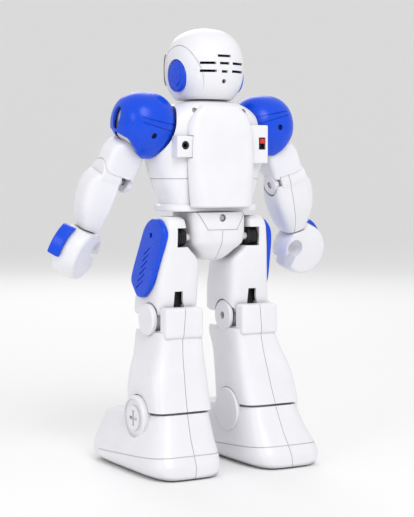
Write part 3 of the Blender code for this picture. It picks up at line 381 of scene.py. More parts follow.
SWITCH_HALF_H = 3.6
BUTTON = (0.0, -24.0, 197.0)
BUTTON_R = 5.0


def pad_profile(grow, length_grow=0.0, steps=30, first=-1.0, last=1.0):
    """Radius of the shoulder pad's envelope against distance along its axis."""
    profile = []
    half = PAD_HALF_LENGTH + length_grow
    for i in range(steps):
        u = first + (last - first) * i / (steps - 1)
        u = max(-0.995, min(0.995, u))
        profile.append((u * half, (PAD_RADIUS + grow) * (1 - abs(u) ** 2.5) ** 0.4))
    return profile


def torso_blank():
    """Outside form of the torso, with the two rear shoulder wings."""
    body = cutter(loft(TORSO_ROWS, 20), TORSO)
    left_wing = cutter(block((16.0, 8.0, 183.3), (30.6, WING_REAR_Y, 195.7), 0.8), TORSO)
    right_wing = cutter(block((-31.2, 8.0, 180.0), (-16.0, WING_REAR_Y, 202.7), 0.8), TORSO)
    combine(body, left_wing, "UNION")
    combine(body, right_wing, "UNION")
    for side in (1, -1):
        hollow = turned("X", pad_profile(PAD_CLEARANCE, PAD_CLEARANCE), SHOULDER, 24)
        combine(body, cutter(hollow, TORSO, side), "DIFFERENCE")
    return body


def torso_half(name, keep_front):
    blank = torso_blank()
    shell = blank
    CUTTERS.objects.unlink(shell)
    bpy.context.scene.collection.objects.link(shell)
    shell.name = "look_" + name
    shell.hide_render = False
    PIECES[name] = (shell, "white_shell")
    inner_rows = [
        (150.0, -28.5, 28.5, -15.5, 15.4, 3.2), (157.0, -26.8, 26.8, -14.8, 15.0, 3.0),
        (176.0, -33.0, 33.0, -20.6, 16.1, 3.0), (183.0, -30.0, 30.0, -21.4, 16.3, 3.0),
        (190.0, -21.0, 21.0, -21.6, 16.6, 3.0), (208.0, -20.5, 20.5, -19.5, 16.0, 3.0),
        (214.0, -14.0, 14.0, -12.5, 12.5, 2.6)]
    combine(shell, cutter(loft(inner_rows, 16), TORSO), "DIFFERENCE")
    if keep_front:
        far = block((-60, TORSO_SPLIT_Y - SEAM / 2, 140), (60, 60, 230))
    else:
        far = block((-60, -60, 140), (60, TORSO_SPLIT_Y + SEAM / 2, 230))
    combine(shell, cutter(far, TORSO), "DIFFERENCE")
    for side in (1, -1):
        bearing = barrel("X", -24.0, -4.0, 5.4, SHOULDER, 16)
        combine(shell, cutter(bearing, TORSO, side), "DIFFERENCE")
    return shell


front = torso_half("torso_front_shell", True)
combine(front, cutter(barrel("Y", -6.0, 8.0, BUTTON_R + SEAM, BUTTON), TORSO), "DIFFERENCE")
for k in range(3):
    slot_z = 172.0 + 4.0 * k
    slot = block((-8.0, -30.0, slot_z), (8.0, -14.0, slot_z + 1.6))
    combine(front, cutter(slot, TORSO), "DIFFERENCE")

rear = torso_half("torso_rear_shell", False)
bay = block((-13.0, 10.0, 158.5), (13.0, 24.0, 201.5))
combine(rear, cutter(bay, TORSO), "DIFFERENCE")
combine(rear, cutter(barrel("Y", -6.4, 4.0, 2.5, JACK, 12), TORSO), "DIFFERENCE")
pocket = block((SWITCH[0] - SWITCH_HALF_W, WING_REAR_Y - 5.0, SWITCH[2] - SWITCH_HALF_H),
               (SWITCH[0] + SWITCH_HALF_W, WING_REAR_Y + 4.0, SWITCH[2] + SWITCH_HALF_H))
combine(rear, cutter(pocket, TORSO), "DIFFERENCE")
spigot = barrel("Z", -4.0, 8.0, SPIGOT_R, NECK, 20)
combine(rear, cutter(spigot, TORSO), "UNION")
combine(rear, cutter(barrel("Z", -14.0, 14.0, SPIGOT_R - WALL, NECK, 16), TORSO), "DIFFERENCE")

# back cover: a tapered box with sloping sides that leans forwards towards the neck
COVER_ROWS = [              # z, half width at the torso, half width at the rear, front y, rear y
    (154.2, 21.4, 15.2, 15.5, 26.0),
    (155.0, 22.2, 16.0, 15.5, 26.8),
    (176.0, 23.4, 18.6, 15.5, 24.6),
    (190.0, 23.6, 19.6, 15.5, 22.9),
    (200.0, 23.0, 19.4, 15.2, 21.8),
    (208.0, 19.6, 17.0, 14.6, 20.4),
    (213.5, 14.0, 12.0, 13.6, 18.6),
]


def cover_form():
    bm = bmesh.new()
    rings = []
    for row in smooth_rows([list(r) + [0.0] for r in COVER_ROWS], ROW_DETAIL):
        z, base, back, y0, y1 = row[:5]
        outline = rounded([(-base, y0), (base, y0), (back, y1), (-back, y1)], 7.0, 12)
        rings.append([bm.verts.new((x, y, z)) for x, y in outline])
    join_rings(bm, rings)
    return bm


cover = publish("back_cover", cover_form(), TORSO, 1, "white_shell")
cover_hollow = loft([(158.0, -13.6, 13.6, 10.0, 24.8, 8.0), (176.0, -16.6, 16.6, 10.0, 22.8, 8.0),
                     (196.0, -17.0, 17.0, 10.0, 20.4, 8.0)], 12)
combine(cover, cutter(cover_hollow, TORSO), "DIFFERENCE")
body_clear = cutter(loft([(row[0], row[1] - SEAM, row[2] + SEAM, row[3], row[4] + SEAM, row[5])
                          for row in TORSO_ROWS], 20), TORSO)
combine(cover, body_clear, "DIFFERENCE")
wing_clear = cutter(block((-33.3, 8.0, 179.7), (-15.7, WING_REAR_Y + SEAM, 203.0)), TORSO)
combine(cover, wing_clear, "DIFFERENCE")
wing_clear = cutter(block((15.7, 8.0, 183.0), (33.3, WING_REAR_Y + SEAM, 196.0)), TORSO)
combine(cover, wing_clear, "DIFFERENCE")

jack = publish("charging_jack", barrel("Y", -5.4, -0.4, 2.2, JACK, 12), TORSO, 1, "black_part")
combine(jack, cutter(barrel("Y", -4.0, 3.0, 1.2, JACK, 12), TORSO), "DIFFERENCE")
switch_base = publish("power_switch_base", block(
    (SWITCH[0] - SWITCH_HALF_W + SEAM, WING_REAR_Y - 4.7, SWITCH[2] - SWITCH_HALF_H + SEAM),
    (SWITCH[0] + SWITCH_HALF_W - SEAM, WING_REAR_Y - 0.5, SWITCH[2] + SWITCH_HALF_H - SEAM)),
    TORSO, 1, "black_part")
groove = block((SWITCH[0] - 1.6, WING_REAR_Y - 2.6, SWITCH[2] - 3.0),
               (SWITCH[0] + 1.6, WING_REAR_Y + 3.0, SWITCH[2] + 3.0))
combine(switch_base, cutter(groove, TORSO), "DIFFERENCE")
SWITCH_FRAME = Frame("power_switch_frame", (SWITCH[0], WING_REAR_Y, SWITCH[2] + 1.4), TORSO)
publish("power_switch_slider", block((SWITCH[0] - 1.45, WING_REAR_Y - 2.4, SWITCH[2] + 0.0),
                                     (SWITCH[0] + 1.45, WING_REAR_Y + 0.6, SWITCH[2] + 2.85)),
        SWITCH_FRAME, 1, "red_switch")
BUTTON_FRAME = Frame("chest_button_frame", BUTTON, TORSO)
publish("chest_button", barrel("Y", -1.4, 3.4, BUTTON_R, BUTTON, 20, 0.5), BUTTON_FRAME, 1,
        "blue_trim")
publish("main_board", block((-18.0, -6.6, 166.0), (18.0, -5.0, 200.0)), TORSO, 1, "circuit_green")
publish("battery_pack", block((-12.2, 6.0, 160.0), (12.2, 19.6, 194.0), 1.2), TORSO, 1,
        "battery_wrap")
publish("speaker", turned("Y", [(-15.8, 9.5), (-14.0, 10.5), (-13.0, 10.5), (-9.5, 6.0),
                                (-8.6, 6.0)], (0.0, 0.0, 177.0), 16), TORSO, 1, "black_part")

# ---------------------------------------------------------------- pelvis
PELVIS_ROWS = [
    (122.8, -6.0, 6.0, -6.0, 9.0, 3.0),
    (123.6, -7.5, 7.5, -8.0, 11.0, 3.4),
    (128.5, -12.8, 12.8, -11.5, 15.6, 4.0),
    (134.0, -17.6, 17.6, -13.5, 19.0, 5.0),
    (141.0, -18.2, 18.2, -14.5, 20.0, 5.0),
    (151.2, -18.0, 18.0, -14.5, 20.0, 5.0),
]
PELVIS_SPLIT_Y = 2.0
PELVIS_SCREW = (0.0, 20.0, 147.9)


def pelvis_half(name, keep_front):
    shell = publish(name, loft(PELVIS_ROWS, 20), TORSO, 1, "white_shell")
    hollow = loft([(126.5, -8.6, 8.6, -8.0, 11.4, 4.0), (134.5, -15.6, 15.6, -11.6, 16.8, 5.0),
                   (149.2, -16.0, 16.0, -12.6, 17.8, 5.0)], 12)
    combine(shell, cutter(hollow, TORSO), "DIFFERENCE")
    if keep_front:
        far = block((-60, PELVIS_SPLIT_Y - SEAM / 2, 110), (60, 60, 160))
    else:
        far = block((-60, -60, 110), (60, PELVIS_SPLIT_Y + SEAM / 2, 160))
    combine(shell, cutter(far, TORSO), "DIFFERENCE")
    axle_hole = barrel("X", -40.0, 40.0, HIP_AXLE_R + SEAM, (0.0, HIP[1], HIP[2]), 16)
    combine(shell, cutter(axle_hole, TORSO), "DIFFERENCE")
    return shell


pelvis_half("pelvis_front_shell", True)
pelvis_rear = pelvis_half("pelvis_rear_shell", False)
combine(pelvis_rear, cutter(barrel("Y", -4.0, 3.0, 2.2, PELVIS_SCREW, 16), TORSO), "DIFFERENCE")
publish("pelvis_screw", turned("Y", [(-6.0, 0.9), (-2.0, 0.9), (-1.9, 1.8), (-1.0, 1.8),
                                     (-0.7, 1.5)], PELVIS_SCREW, 14), TORSO, 1, "steel")
gearbox = publish("drive_gearbox", block((-9.0, -8.5, 133.4), (9.0, 15.5, 146.4), 0.8), TORSO, 1,
                  "black_part")
combine(gearbox, cutter(barrel("X", -30.0, 30.0, HIP_AXLE_R + AXLE_CLEARANCE, (0.0, HIP[1], HIP[2]), 16),
                        TORSO), "DIFFERENCE")
publish("hip_axle", barrel("X", -27.0, 27.0, HIP_AXLE_R, (0.0, HIP[1], HIP[2]), 16, 0.4), TORSO, 1,
        "white_shell")

# ---------------------------------------------------------------- head
HEAD = Frame("head_frame", NECK, TORSO)
HEAD_CENTRE = (0.0, -2.4, 236.4)
HEAD_HALF = (21.6, 24.7, 23.6)
HEAD_POWER = 2.4
HEAD_BOTTOM = 217.6
HEAD_SPLIT_Y = -10.5
VISOR_PROUD = 0.9


def head_form(grow, bottom, steps=36, count=72):
    bm = bmesh.new()
    rings = []
    low_angle = math.asin((bottom - HEAD_CENTRE[2]) / (HEAD_HALF[2] + grow))
    for i in range(steps):
        angle = low_angle + (math.radians(86.0) - low_angle) * i / (steps - 1)
        rise = math.sin(angle)
        width = (1 - abs(rise) ** HEAD_POWER) ** (1 / HEAD_POWER)
        z = HEAD_CENTRE[2] + (HEAD_HALF[2] + grow) * rise
        ring = [bm.verts.new((x, y, z)) for x, y in superellipse(
            HEAD_CENTRE[0], HEAD_CENTRE[1], (HEAD_HALF[0] + grow) * width,
            (HEAD_HALF[1] + grow) * width, 2.4, count)]
        rings.append(ring)
    join_rings(bm, rings)
    return bm


def head_half(name, keep_front):
    shell = publish(name, head_form(0.0, HEAD_BOTTOM), HEAD, 1, "white_shell")
    combine(shell, cutter(head_form(-WALL, HEAD_BOTTOM + WALL, 24, 48), HEAD), "DIFFERENCE")
    if keep_front:
        far = block((-60, HEAD_SPLIT_Y - SEAM / 2, 200), (60, 60, 280))
    else:
        far = block((-60, -60, 200), (60, HEAD_SPLIT_Y + SEAM / 2, 280))
    combine(shell, cutter(far, HEAD), "DIFFERENCE")
    combine(shell, cutter(barrel("Z", -5.0, 6.0, SPIGOT_R + 0.2, NECK, 20), HEAD), "DIFFERENCE")
    return shell


VISOR_BOX = ((-17.0, -40.0, 226.5), (17.0, -17.0, 246.5))
face = head_half("head_front_shell", True)
face_opening = block((VISOR_BOX[0][0] - SEAM, VISOR_BOX[0][1], VISOR_BOX[0][2] - SEAM),
                     (VISOR_BOX[1][0] + SEAM, VISOR_BOX[1][1], VISOR_BOX[1][2] + SEAM), 3.0)
combine(face, cutter(face_opening, HEAD), "DIFFERENCE")
skull = head_half("head_rear_shell", False)
SLOT_COLUMNS = [(0.0, 242.5, 4.4), (0.0, 238.2, 3.2), (0.0, 233.4, 2.0),
                (9.9, 238.2, 4.4), (9.7, 233.6, 4.6), (-9.9, 238.2, 4.4), (-9.7, 233.6, 4.6)]
for slot_x, slot_z, half_width in SLOT_COLUMNS:
    vent = block((slot_x - half_width, 5.0, slot_z - 0.75), (slot_x + half_width, 30.0, slot_z + 0.75))
    combine(skull, cutter(vent, HEAD), "DIFFERENCE")
combine(skull, cutter(barrel("Y", 10.0, 30.0, 1.3, (0.0, 0.0, 227.8), 12), HEAD), "DIFFERENCE")
visor = publish("face_visor", head_form(VISOR_PROUD, HEAD_BOTTOM, 36, 72), HEAD, 1, "visor_black")
combine(visor, cutter(head_form(VISOR_PROUD - 2.2, HEAD_BOTTOM + 2.2, 24, 48), HEAD), "DIFFERENCE")
combine(visor, cutter(block(VISOR_BOX[0], VISOR_BOX[1], 3.0), HEAD), "INTERSECT")
EYE_X, EYE_Z, EYE_R = 7.4, 237.2, 4.0
for side in (1, -1):
    eye_at = (EYE_X * side, 0.0, EYE_Z)
    combine(visor, cutter(barrel("Y", -34.0, -14.0, EYE_R + SEAM, eye_at, 20), HEAD), "DIFFERENCE")
    eye_name = "eye_left" if side > 0 else "eye_right"
    publish(eye_name, turned("Y", [(-27.4, 2.2), (-27.0, 3.4), (-26.2, EYE_R), (-20.5, EYE_R)],
                             eye_at, 16), HEAD, 1, "eye_lens")
EAR = (19.4, 0.8, 231.4)
EAR_TURN = 3.0
for side in (1, -1):
    hollow = cutter(turned("X", pad_profile(PAD_CLEARANCE, PAD_CLEARANCE), SHOULDER, 20), TORSO, side)
    combine(cover, hollow, "DIFFERENCE")
for side in (1, -1):
    ear_name = "ear_cap_left" if side > 0 else "ear_cap_right"
    cap = turned("X", [(-0.6, 9.5), (1.0, 9.5), (1.6, 8.8), (1.6, 6.2), (2.1, 5.6), (2.2, 1.0)],
                 (0, 0, 0), 20)
    seat = turned("X", [(-0.9, 9.8), (8.0, 9.8)], (0, 0, 0), 20)
    for shape in (cap, seat):
        swing = Matrix.Rotation(math.radians(EAR_TURN), 4, "Z")
        for v in shape.verts:
            v.co = swing @ v.co + Vector(EAR)
    publish(ear_name, cap, HEAD, side, "blue_trim")
    for half_shell in (skull, face):
        seat_copy = seat.copy()
        combine(half_shell, cutter(seat_copy, HEAD, side), "DIFFERENCE")
    seat.free()

# ---------------------------------------------------------------- arms
UPPER_ARM_ROWS = [
    (-4.0, -11.0, 11.0, -8.6, 8.6, 6.0),
    (14.0, -11.2, 11.0, -8.6, 8.6, 6.0),
    (19.5, -11.2, 9.6, -8.6, 8.6, 5.0),
    (23.0, -11.0, 6.0, -8.2, 8.2, 4.0),
    (25.5, -10.0, 0.5, -7.4, 7.4, 3.0),
]
FOREARM_ROWS = [
    (-WRIST_DROP, -5.5, 9.0, -7.5, 7.5, 3.0),
    (-27.0, -8.5, 12.2, -9.2, 9.2, 3.4),
    (-19.0, -10.8, 15.2, -10.2, 10.2, 4.0),
    (-9.0, -12.4, 16.6, -9.8, 9.8, 4.5),
    (-3.5, -12.0, 15.8, -9.0, 9.0, 5.0),
    (1.4, -11.0, 12.6, -8.4, 8.6, 6.0),
]
HAND_AT = (5.5, -14.8)      # middle of the curled hand, outwards and down from the wrist
HAND_HALF = (16.4, 16.2)
GRIP_R = 5.4
GRIP_AT = (-2.5, -10.5)     # middle of the grip channel
MOUTH_HALF = 3.2
MOUTH_SLOPE = 50.0
SOCKET_R = 8.9
FOREARM_SPLIT_X = -1.5
RIM_SLOPE = 18.0           # upper arm's lower rim rises towards the front


def arm(side):
    label = "left" if side > 0 else "right"
    shoulder_at = (SHOULDER[0] * side, SHOULDER[1], SHOULDER[2])
    swing = Frame("shoulder_frame_" + label, shoulder_at, TORSO, (SHOULDER_REST[side], 0.0, 0.0))
    hub = turned("X", [(-20.0, 5.0), (-16.0, 5.0), (-15.9, 8.0), (-12.0, HUB_RADIUS - 0.6),
                       (-11.0, HUB_RADIUS), (11.0, HUB_RADIUS), (13.0, 9.4), (14.0, 7.2), (14.4, 5.0)],
                 SHOULDER, 20)
    publish("shoulder_hub_" + label, hub, swing, side, "white_shell")
    x, y, z = SHOULDER
    outside = pad_profile(0.0, 0.0, 40, -0.96, 0.995)
    inside = [(-16.6, 7.7)] + pad_profile(-PAD_WALL, -PAD_WALL, 30, -0.9, 0.985)
    dome = turned_shell("X", outside + inside[::-1], SHOULDER, 22)
    for v in dome.verts:
        v.co.z -= PAD_TIP_STRETCH * max(0.0, z - PAD_TIP_START - v.co.z)
    pad = publish("shoulder_pad_" + label, dome, swing, side, "blue_trim")
    window = superellipse(y - 0.5, z + 4.1, 4.2, 6.1, 2.0, 13)
    combine(pad, cutter(prism(window, "X", x + 13.3, x + 31.0), swing, side), "DIFFERENCE")
    below = [(x - 1.5, z - 21.4), (x + 7.0, z - 15.4), (x + 14.0, z - 6.0), (x + 21.0, z - 3.4),
             (x + 21.0, z - 60.0), (x - 24.0, z - 60.0), (x - 24.0, z - 3.0), (x - 15.5, z - 7.0),
             (x - 7.5, z - 10.5)]
    combine(pad, cutter(prism(below, "Y", -40.0, 40.0), swing, side), "DIFFERENCE")
    throat = block((x - 30.0, y - 9.0, z - 60.0), (x + 11.0, y + 9.0, z + 1.0))
    combine(pad, cutter(throat, swing, side), "DIFFERENCE")
    for fore in (1, -1):
        hole = barrel("Y", 8.0 * fore, 30.0 * fore, 1.7, (x + 1.6, y, z - 2.2), 10)
        combine(pad, cutter(hole, swing, side), "DIFFERENCE")

    elbow_turn = (ELBOW_REST[side], -ARM_SPLAY * side, 0.0)
    elbow_at = (ELBOW[0] * side, ELBOW[1], ELBOW[2])
    lean = Frame("upper_arm_frame_" + label, elbow_at, swing, (0.0, -ARM_SPLAY * side, 0.0), False)
    upper = publish("upper_arm_" + label, loft(UPPER_ARM_ROWS, 16), lean, side, "white_shell")
    upper_hollow = loft([(2.0, -9.2, 9.2, -6.5, 6.5, 6.0), (20.0, -9.2, 7.4, -6.5, 6.5, 5.0)], 12)
    combine(upper, cutter(upper_hollow, lean, side), "DIFFERENCE")
    trim = barrel("X", -7.8, 30.0, SOCKET_R + SEAM, (0, 0, 0), 24)
    combine(upper, cutter(trim, lean, side), "DIFFERENCE")
    trim = block((-30.0, -30.0, -30.0), (30.0, 30.0, 2.4), 0.0, ("X", -RIM_SLOPE), (0.0, 8.6, 2.4))
    combine(upper, cutter(trim, lean, side), "DIFFERENCE")
    web = block((-11.1, -4.0, 0.0), (-8.1, 4.0, 10.0))
    combine(upper, cutter(web, lean, side), "UNION")
    lug = barrel("X", -11.4, -8.1, 6.6, (0, 0, 0), 16, 0.6)
    combine(upper, cutter(lug, lean, side), "UNION")
    trim = barrel("X", -14.0, 14.0, ELBOW_PIN_R + PIN_CLEARANCE, (0, 0, 0), 12)
    combine(upper, cutter(trim, lean, side), "DIFFERENCE")
    publish("elbow_pin_" + label, turned("X", [(-10.6, ELBOW_PIN_R), (8.0, ELBOW_PIN_R)],
                                         (0, 0, 0), 12), lean, side, "steel")
    # the hub drum passes through the top of the upper arm
    drum = turned("X", [(-16.8, 9.0), (-12.2, HUB_RADIUS - 0.4), (-11.0, HUB_RADIUS + SEAM),
                        (11.0, HUB_RADIUS + SEAM), (14.2, 9.3), (15.6, 7.5)], SHOULDER, 20)
    combine(upper, cutter(drum, swing, side), "DIFFERENCE")

    bend = Frame("elbow_frame_" + label, elbow_at, swing, elbow_turn, False)
    for half, keep_outer in (("outer", True), ("inner", False)):
        shell = publish("forearm_%s_%s" % (half, label), loft(FOREARM_ROWS, 16), bend, side,
                        "white_shell")
        head = barrel("X", -7.5, 11.4, SOCKET_R, (0, 0, 0), 24, 0.6)
        combine(shell, cutter(head, bend, side), "UNION")
        for lug_room in (barrel("X", -20.0, -7.5, 7.1, (0, 0, 0), 18),
                         block((-20.0, -9.6, 0.3), (-7.5, 9.6, 20.0))):
            combine(shell, cutter(lug_room, bend, side), "DIFFERENCE")
        hollow = loft([(-30.6, -4.4, 6.8, -5.6, 5.6, 3.0),
                       (-19.0, -8.8, 10.4, -8.2, 8.2, 4.0), (-9.0, -9.0, 11.0, -8.0, 8.2, 4.0),
                       (2.0, -5.2, 9.4, -5.6, 5.6, 4.0)], 12)
        combine(shell, cutter(hollow, bend, side), "DIFFERENCE")
        socket = barrel("Z", -WRIST_DROP - 4.0, -WRIST_DROP + 5.0, 4.1, (0, 0, 0), 14)
        combine(shell, cutter(socket, bend, side), "DIFFERENCE")
        if keep_outer:
            far = block((-40, -40, -60), (FOREARM_SPLIT_X + SEAM / 2, 40, 40))
        else:
            far = block((FOREARM_SPLIT_X - SEAM / 2, -40, -60), (40, 40, 40))
        combine(shell, cutter(far, bend, side), "DIFFERENCE")
        pin_hole = barrel("X", -14.0, 9.0, ELBOW_PIN_R + PIN_CLEARANCE, (0, 0, 0), 12)
        combine(shell, cutter(pin_hole, bend, side), "DIFFERENCE")

    wrist = Frame("wrist_frame_" + label, (0.0, 0.0, -WRIST_DROP), bend,
                  (0.0, 0.0, WRIST_REST[side]), False)
    hand = publish("hand_" + label, hand_form(), wrist, side, "white_shell")
    grip_at = (GRIP_AT[0], 0.0, GRIP_AT[1])
    grip = barrel("Y", -30.0, 30.0, GRIP_R, grip_at, 16)
    combine(hand, cutter(grip, wrist, side), "DIFFERENCE")
    mouth = block((GRIP_AT[0] - 25.0, -31.0, GRIP_AT[1] - MOUTH_HALF),
                  (GRIP_AT[0], 31.0, GRIP_AT[1] + MOUTH_HALF), 0.0, ("Y", -MOUTH_SLOPE), grip_at)
    combine(hand, cutter(mouth, wrist, side), "DIFFERENCE")
    combine(hand, cutter(barrel("Z", -1.0, 12.0, 20.0, (0, 0, 0), 12), wrist, side), "DIFFERENCE")
    stem = barrel("Z", -6.0, 3.0, 3.6, (0, 0, 0), 16)
    combine(hand, cutter(stem, wrist, side), "UNION")
    band = turned_shell("Y", [(-9.4, 18.4), (-8.4, 19.2), (-2.6, 19.2), (-1.6, 18.4), (-1.6, 16.9),
                              (-9.4, 16.9)], (HAND_AT[0], 0.0, HAND_AT[1]), 32)
    guard = publish("wrist_guard_" + label, band, wrist, side, "blue_trim")
    sector = prism([(HAND_AT[0], HAND_AT[1]), (60.0, HAND_AT[1] - 12.0), (60.0, -0.7),
                    (HAND_AT[0], -0.7)], "Y", -20.0, 20.0)
    combine(guard, cutter(sector, wrist, side), "INTERSECT")


def hand_form():
    """Curled hand as a thick C seen from the front, rounded on every edge."""
    bm = bmesh.new()
    rows = [(-8.0, 0.78), (-7.9, 0.84), (-7.4, 0.90), (-6.2, 0.95), (-4.0, 0.98), (0.0, 1.0),
            (4.0, 0.98), (6.2, 0.95), (7.4, 0.90), (7.9, 0.84), (8.0, 0.78)]
    rings = []
    for y, scale in rows:
        ring = []
        for i in range(72):
            t = 2.0 * math.pi * (i + 0.5) / 72
            ring.append(bm.verts.new((HAND_AT[0] + HAND_HALF[0] * scale * math.cos(t), y,
                                      HAND_AT[1] + HAND_HALF[1] * scale * math.sin(t))))
        rings.append(ring)
    join_rings(bm, rings)
    return bm


arm(1)
arm(-1)

# ---------------------------------------------------------------- legs
THIGH_ROWS = [
    (90.2, 12.5, 38.4, -20.0, 9.6, 6.0),
    (91.6, 11.0, 39.4, -21.8, 11.2, 6.0),
    (105.0, 10.5, 38.4, -21.0, 12.3, 6.0),
    (119.0, 10.6, 37.0, -18.0, 14.0, 6.0),
    (123.0, 11.6, 36.6, -17.0, 14.5, 6.0),
    (134.0, 20.4, 35.4, -14.5, 15.8, 5.0),
    (141.0, 20.4, 34.7, -12.5, 16.0, 5.0),
    (146.5, 20.6, 34.0, -8.5, 14.6, 4.0),
    (148.8, 22.6, 32.6, -3.0, 11.5, 3.0),
]
THIGH_PAD = [(-9.5, 142.5), (-3.0, 147.6), (9.0, 147.4), (15.4, 141.0), (14.4, 133.0),
             (6.0, 108.0), (-2.0, 101.0), (-10.0, 100.6), (-20.6, 110.0), (-19.0, 117.0)]
PAD_LEAN = 0.115            # the thigh pad leans inwards going up
THIGH_PAD_FOOT = 106.0
SHIN_ROWS = [
    (36.9, 11.0, 50.0, -12.0, 31.0, 6.0),
    (46.0, 10.8, 49.6, -12.4, 27.8, 6.0),
    (57.0, 10.8, 47.6, -13.5, 24.6, 6.0),
    (67.0, 11.0, 43.8, -15.2, 21.6, 6.0),
    (79.0, 11.0, 39.8, -20.0, 19.4, 6.0),
    (81.4, 11.6, 39.4, -19.6, 19.0, 6.0),
]
FOOT_ROWS = [
    (1.2, 14.0, 53.5, -43.5, 45.0, 5.0),
    (3.2, 11.5, 56.4, -46.6, 45.8, 5.0),
    (7.0, 10.0, 58.0, -48.0, 45.6, 5.0),
    (12.5, 10.0, 57.4, -47.6, 43.0, 5.0),
    (22.0, 10.5, 53.6, -45.4, 37.2, 5.0),
    (30.0, 10.9, 51.0, -42.0, 33.6, 5.0),
    (35.6, 11.3, 49.5, -36.5, 31.2, 5.0, 0.05),
]


def leg_seam(keep_outer):
    """Everything on one side of the leaning seam plane."""
    if keep_outer:
        low, high = (LEG_SEAM_X - 90.0, -90.0, -60.0), (LEG_SEAM_X + SEAM / 2, 90.0, 150.0)
    else:
        low, high = (LEG_SEAM_X - SEAM / 2, -90.0, -60.0), (LEG_SEAM_X + 90.0, 90.0, 150.0)
    return block(low, high, 0.0, ("Y", -LEG_SEAM_LEAN), (LEG_SEAM_X, 0.0, 0.0))


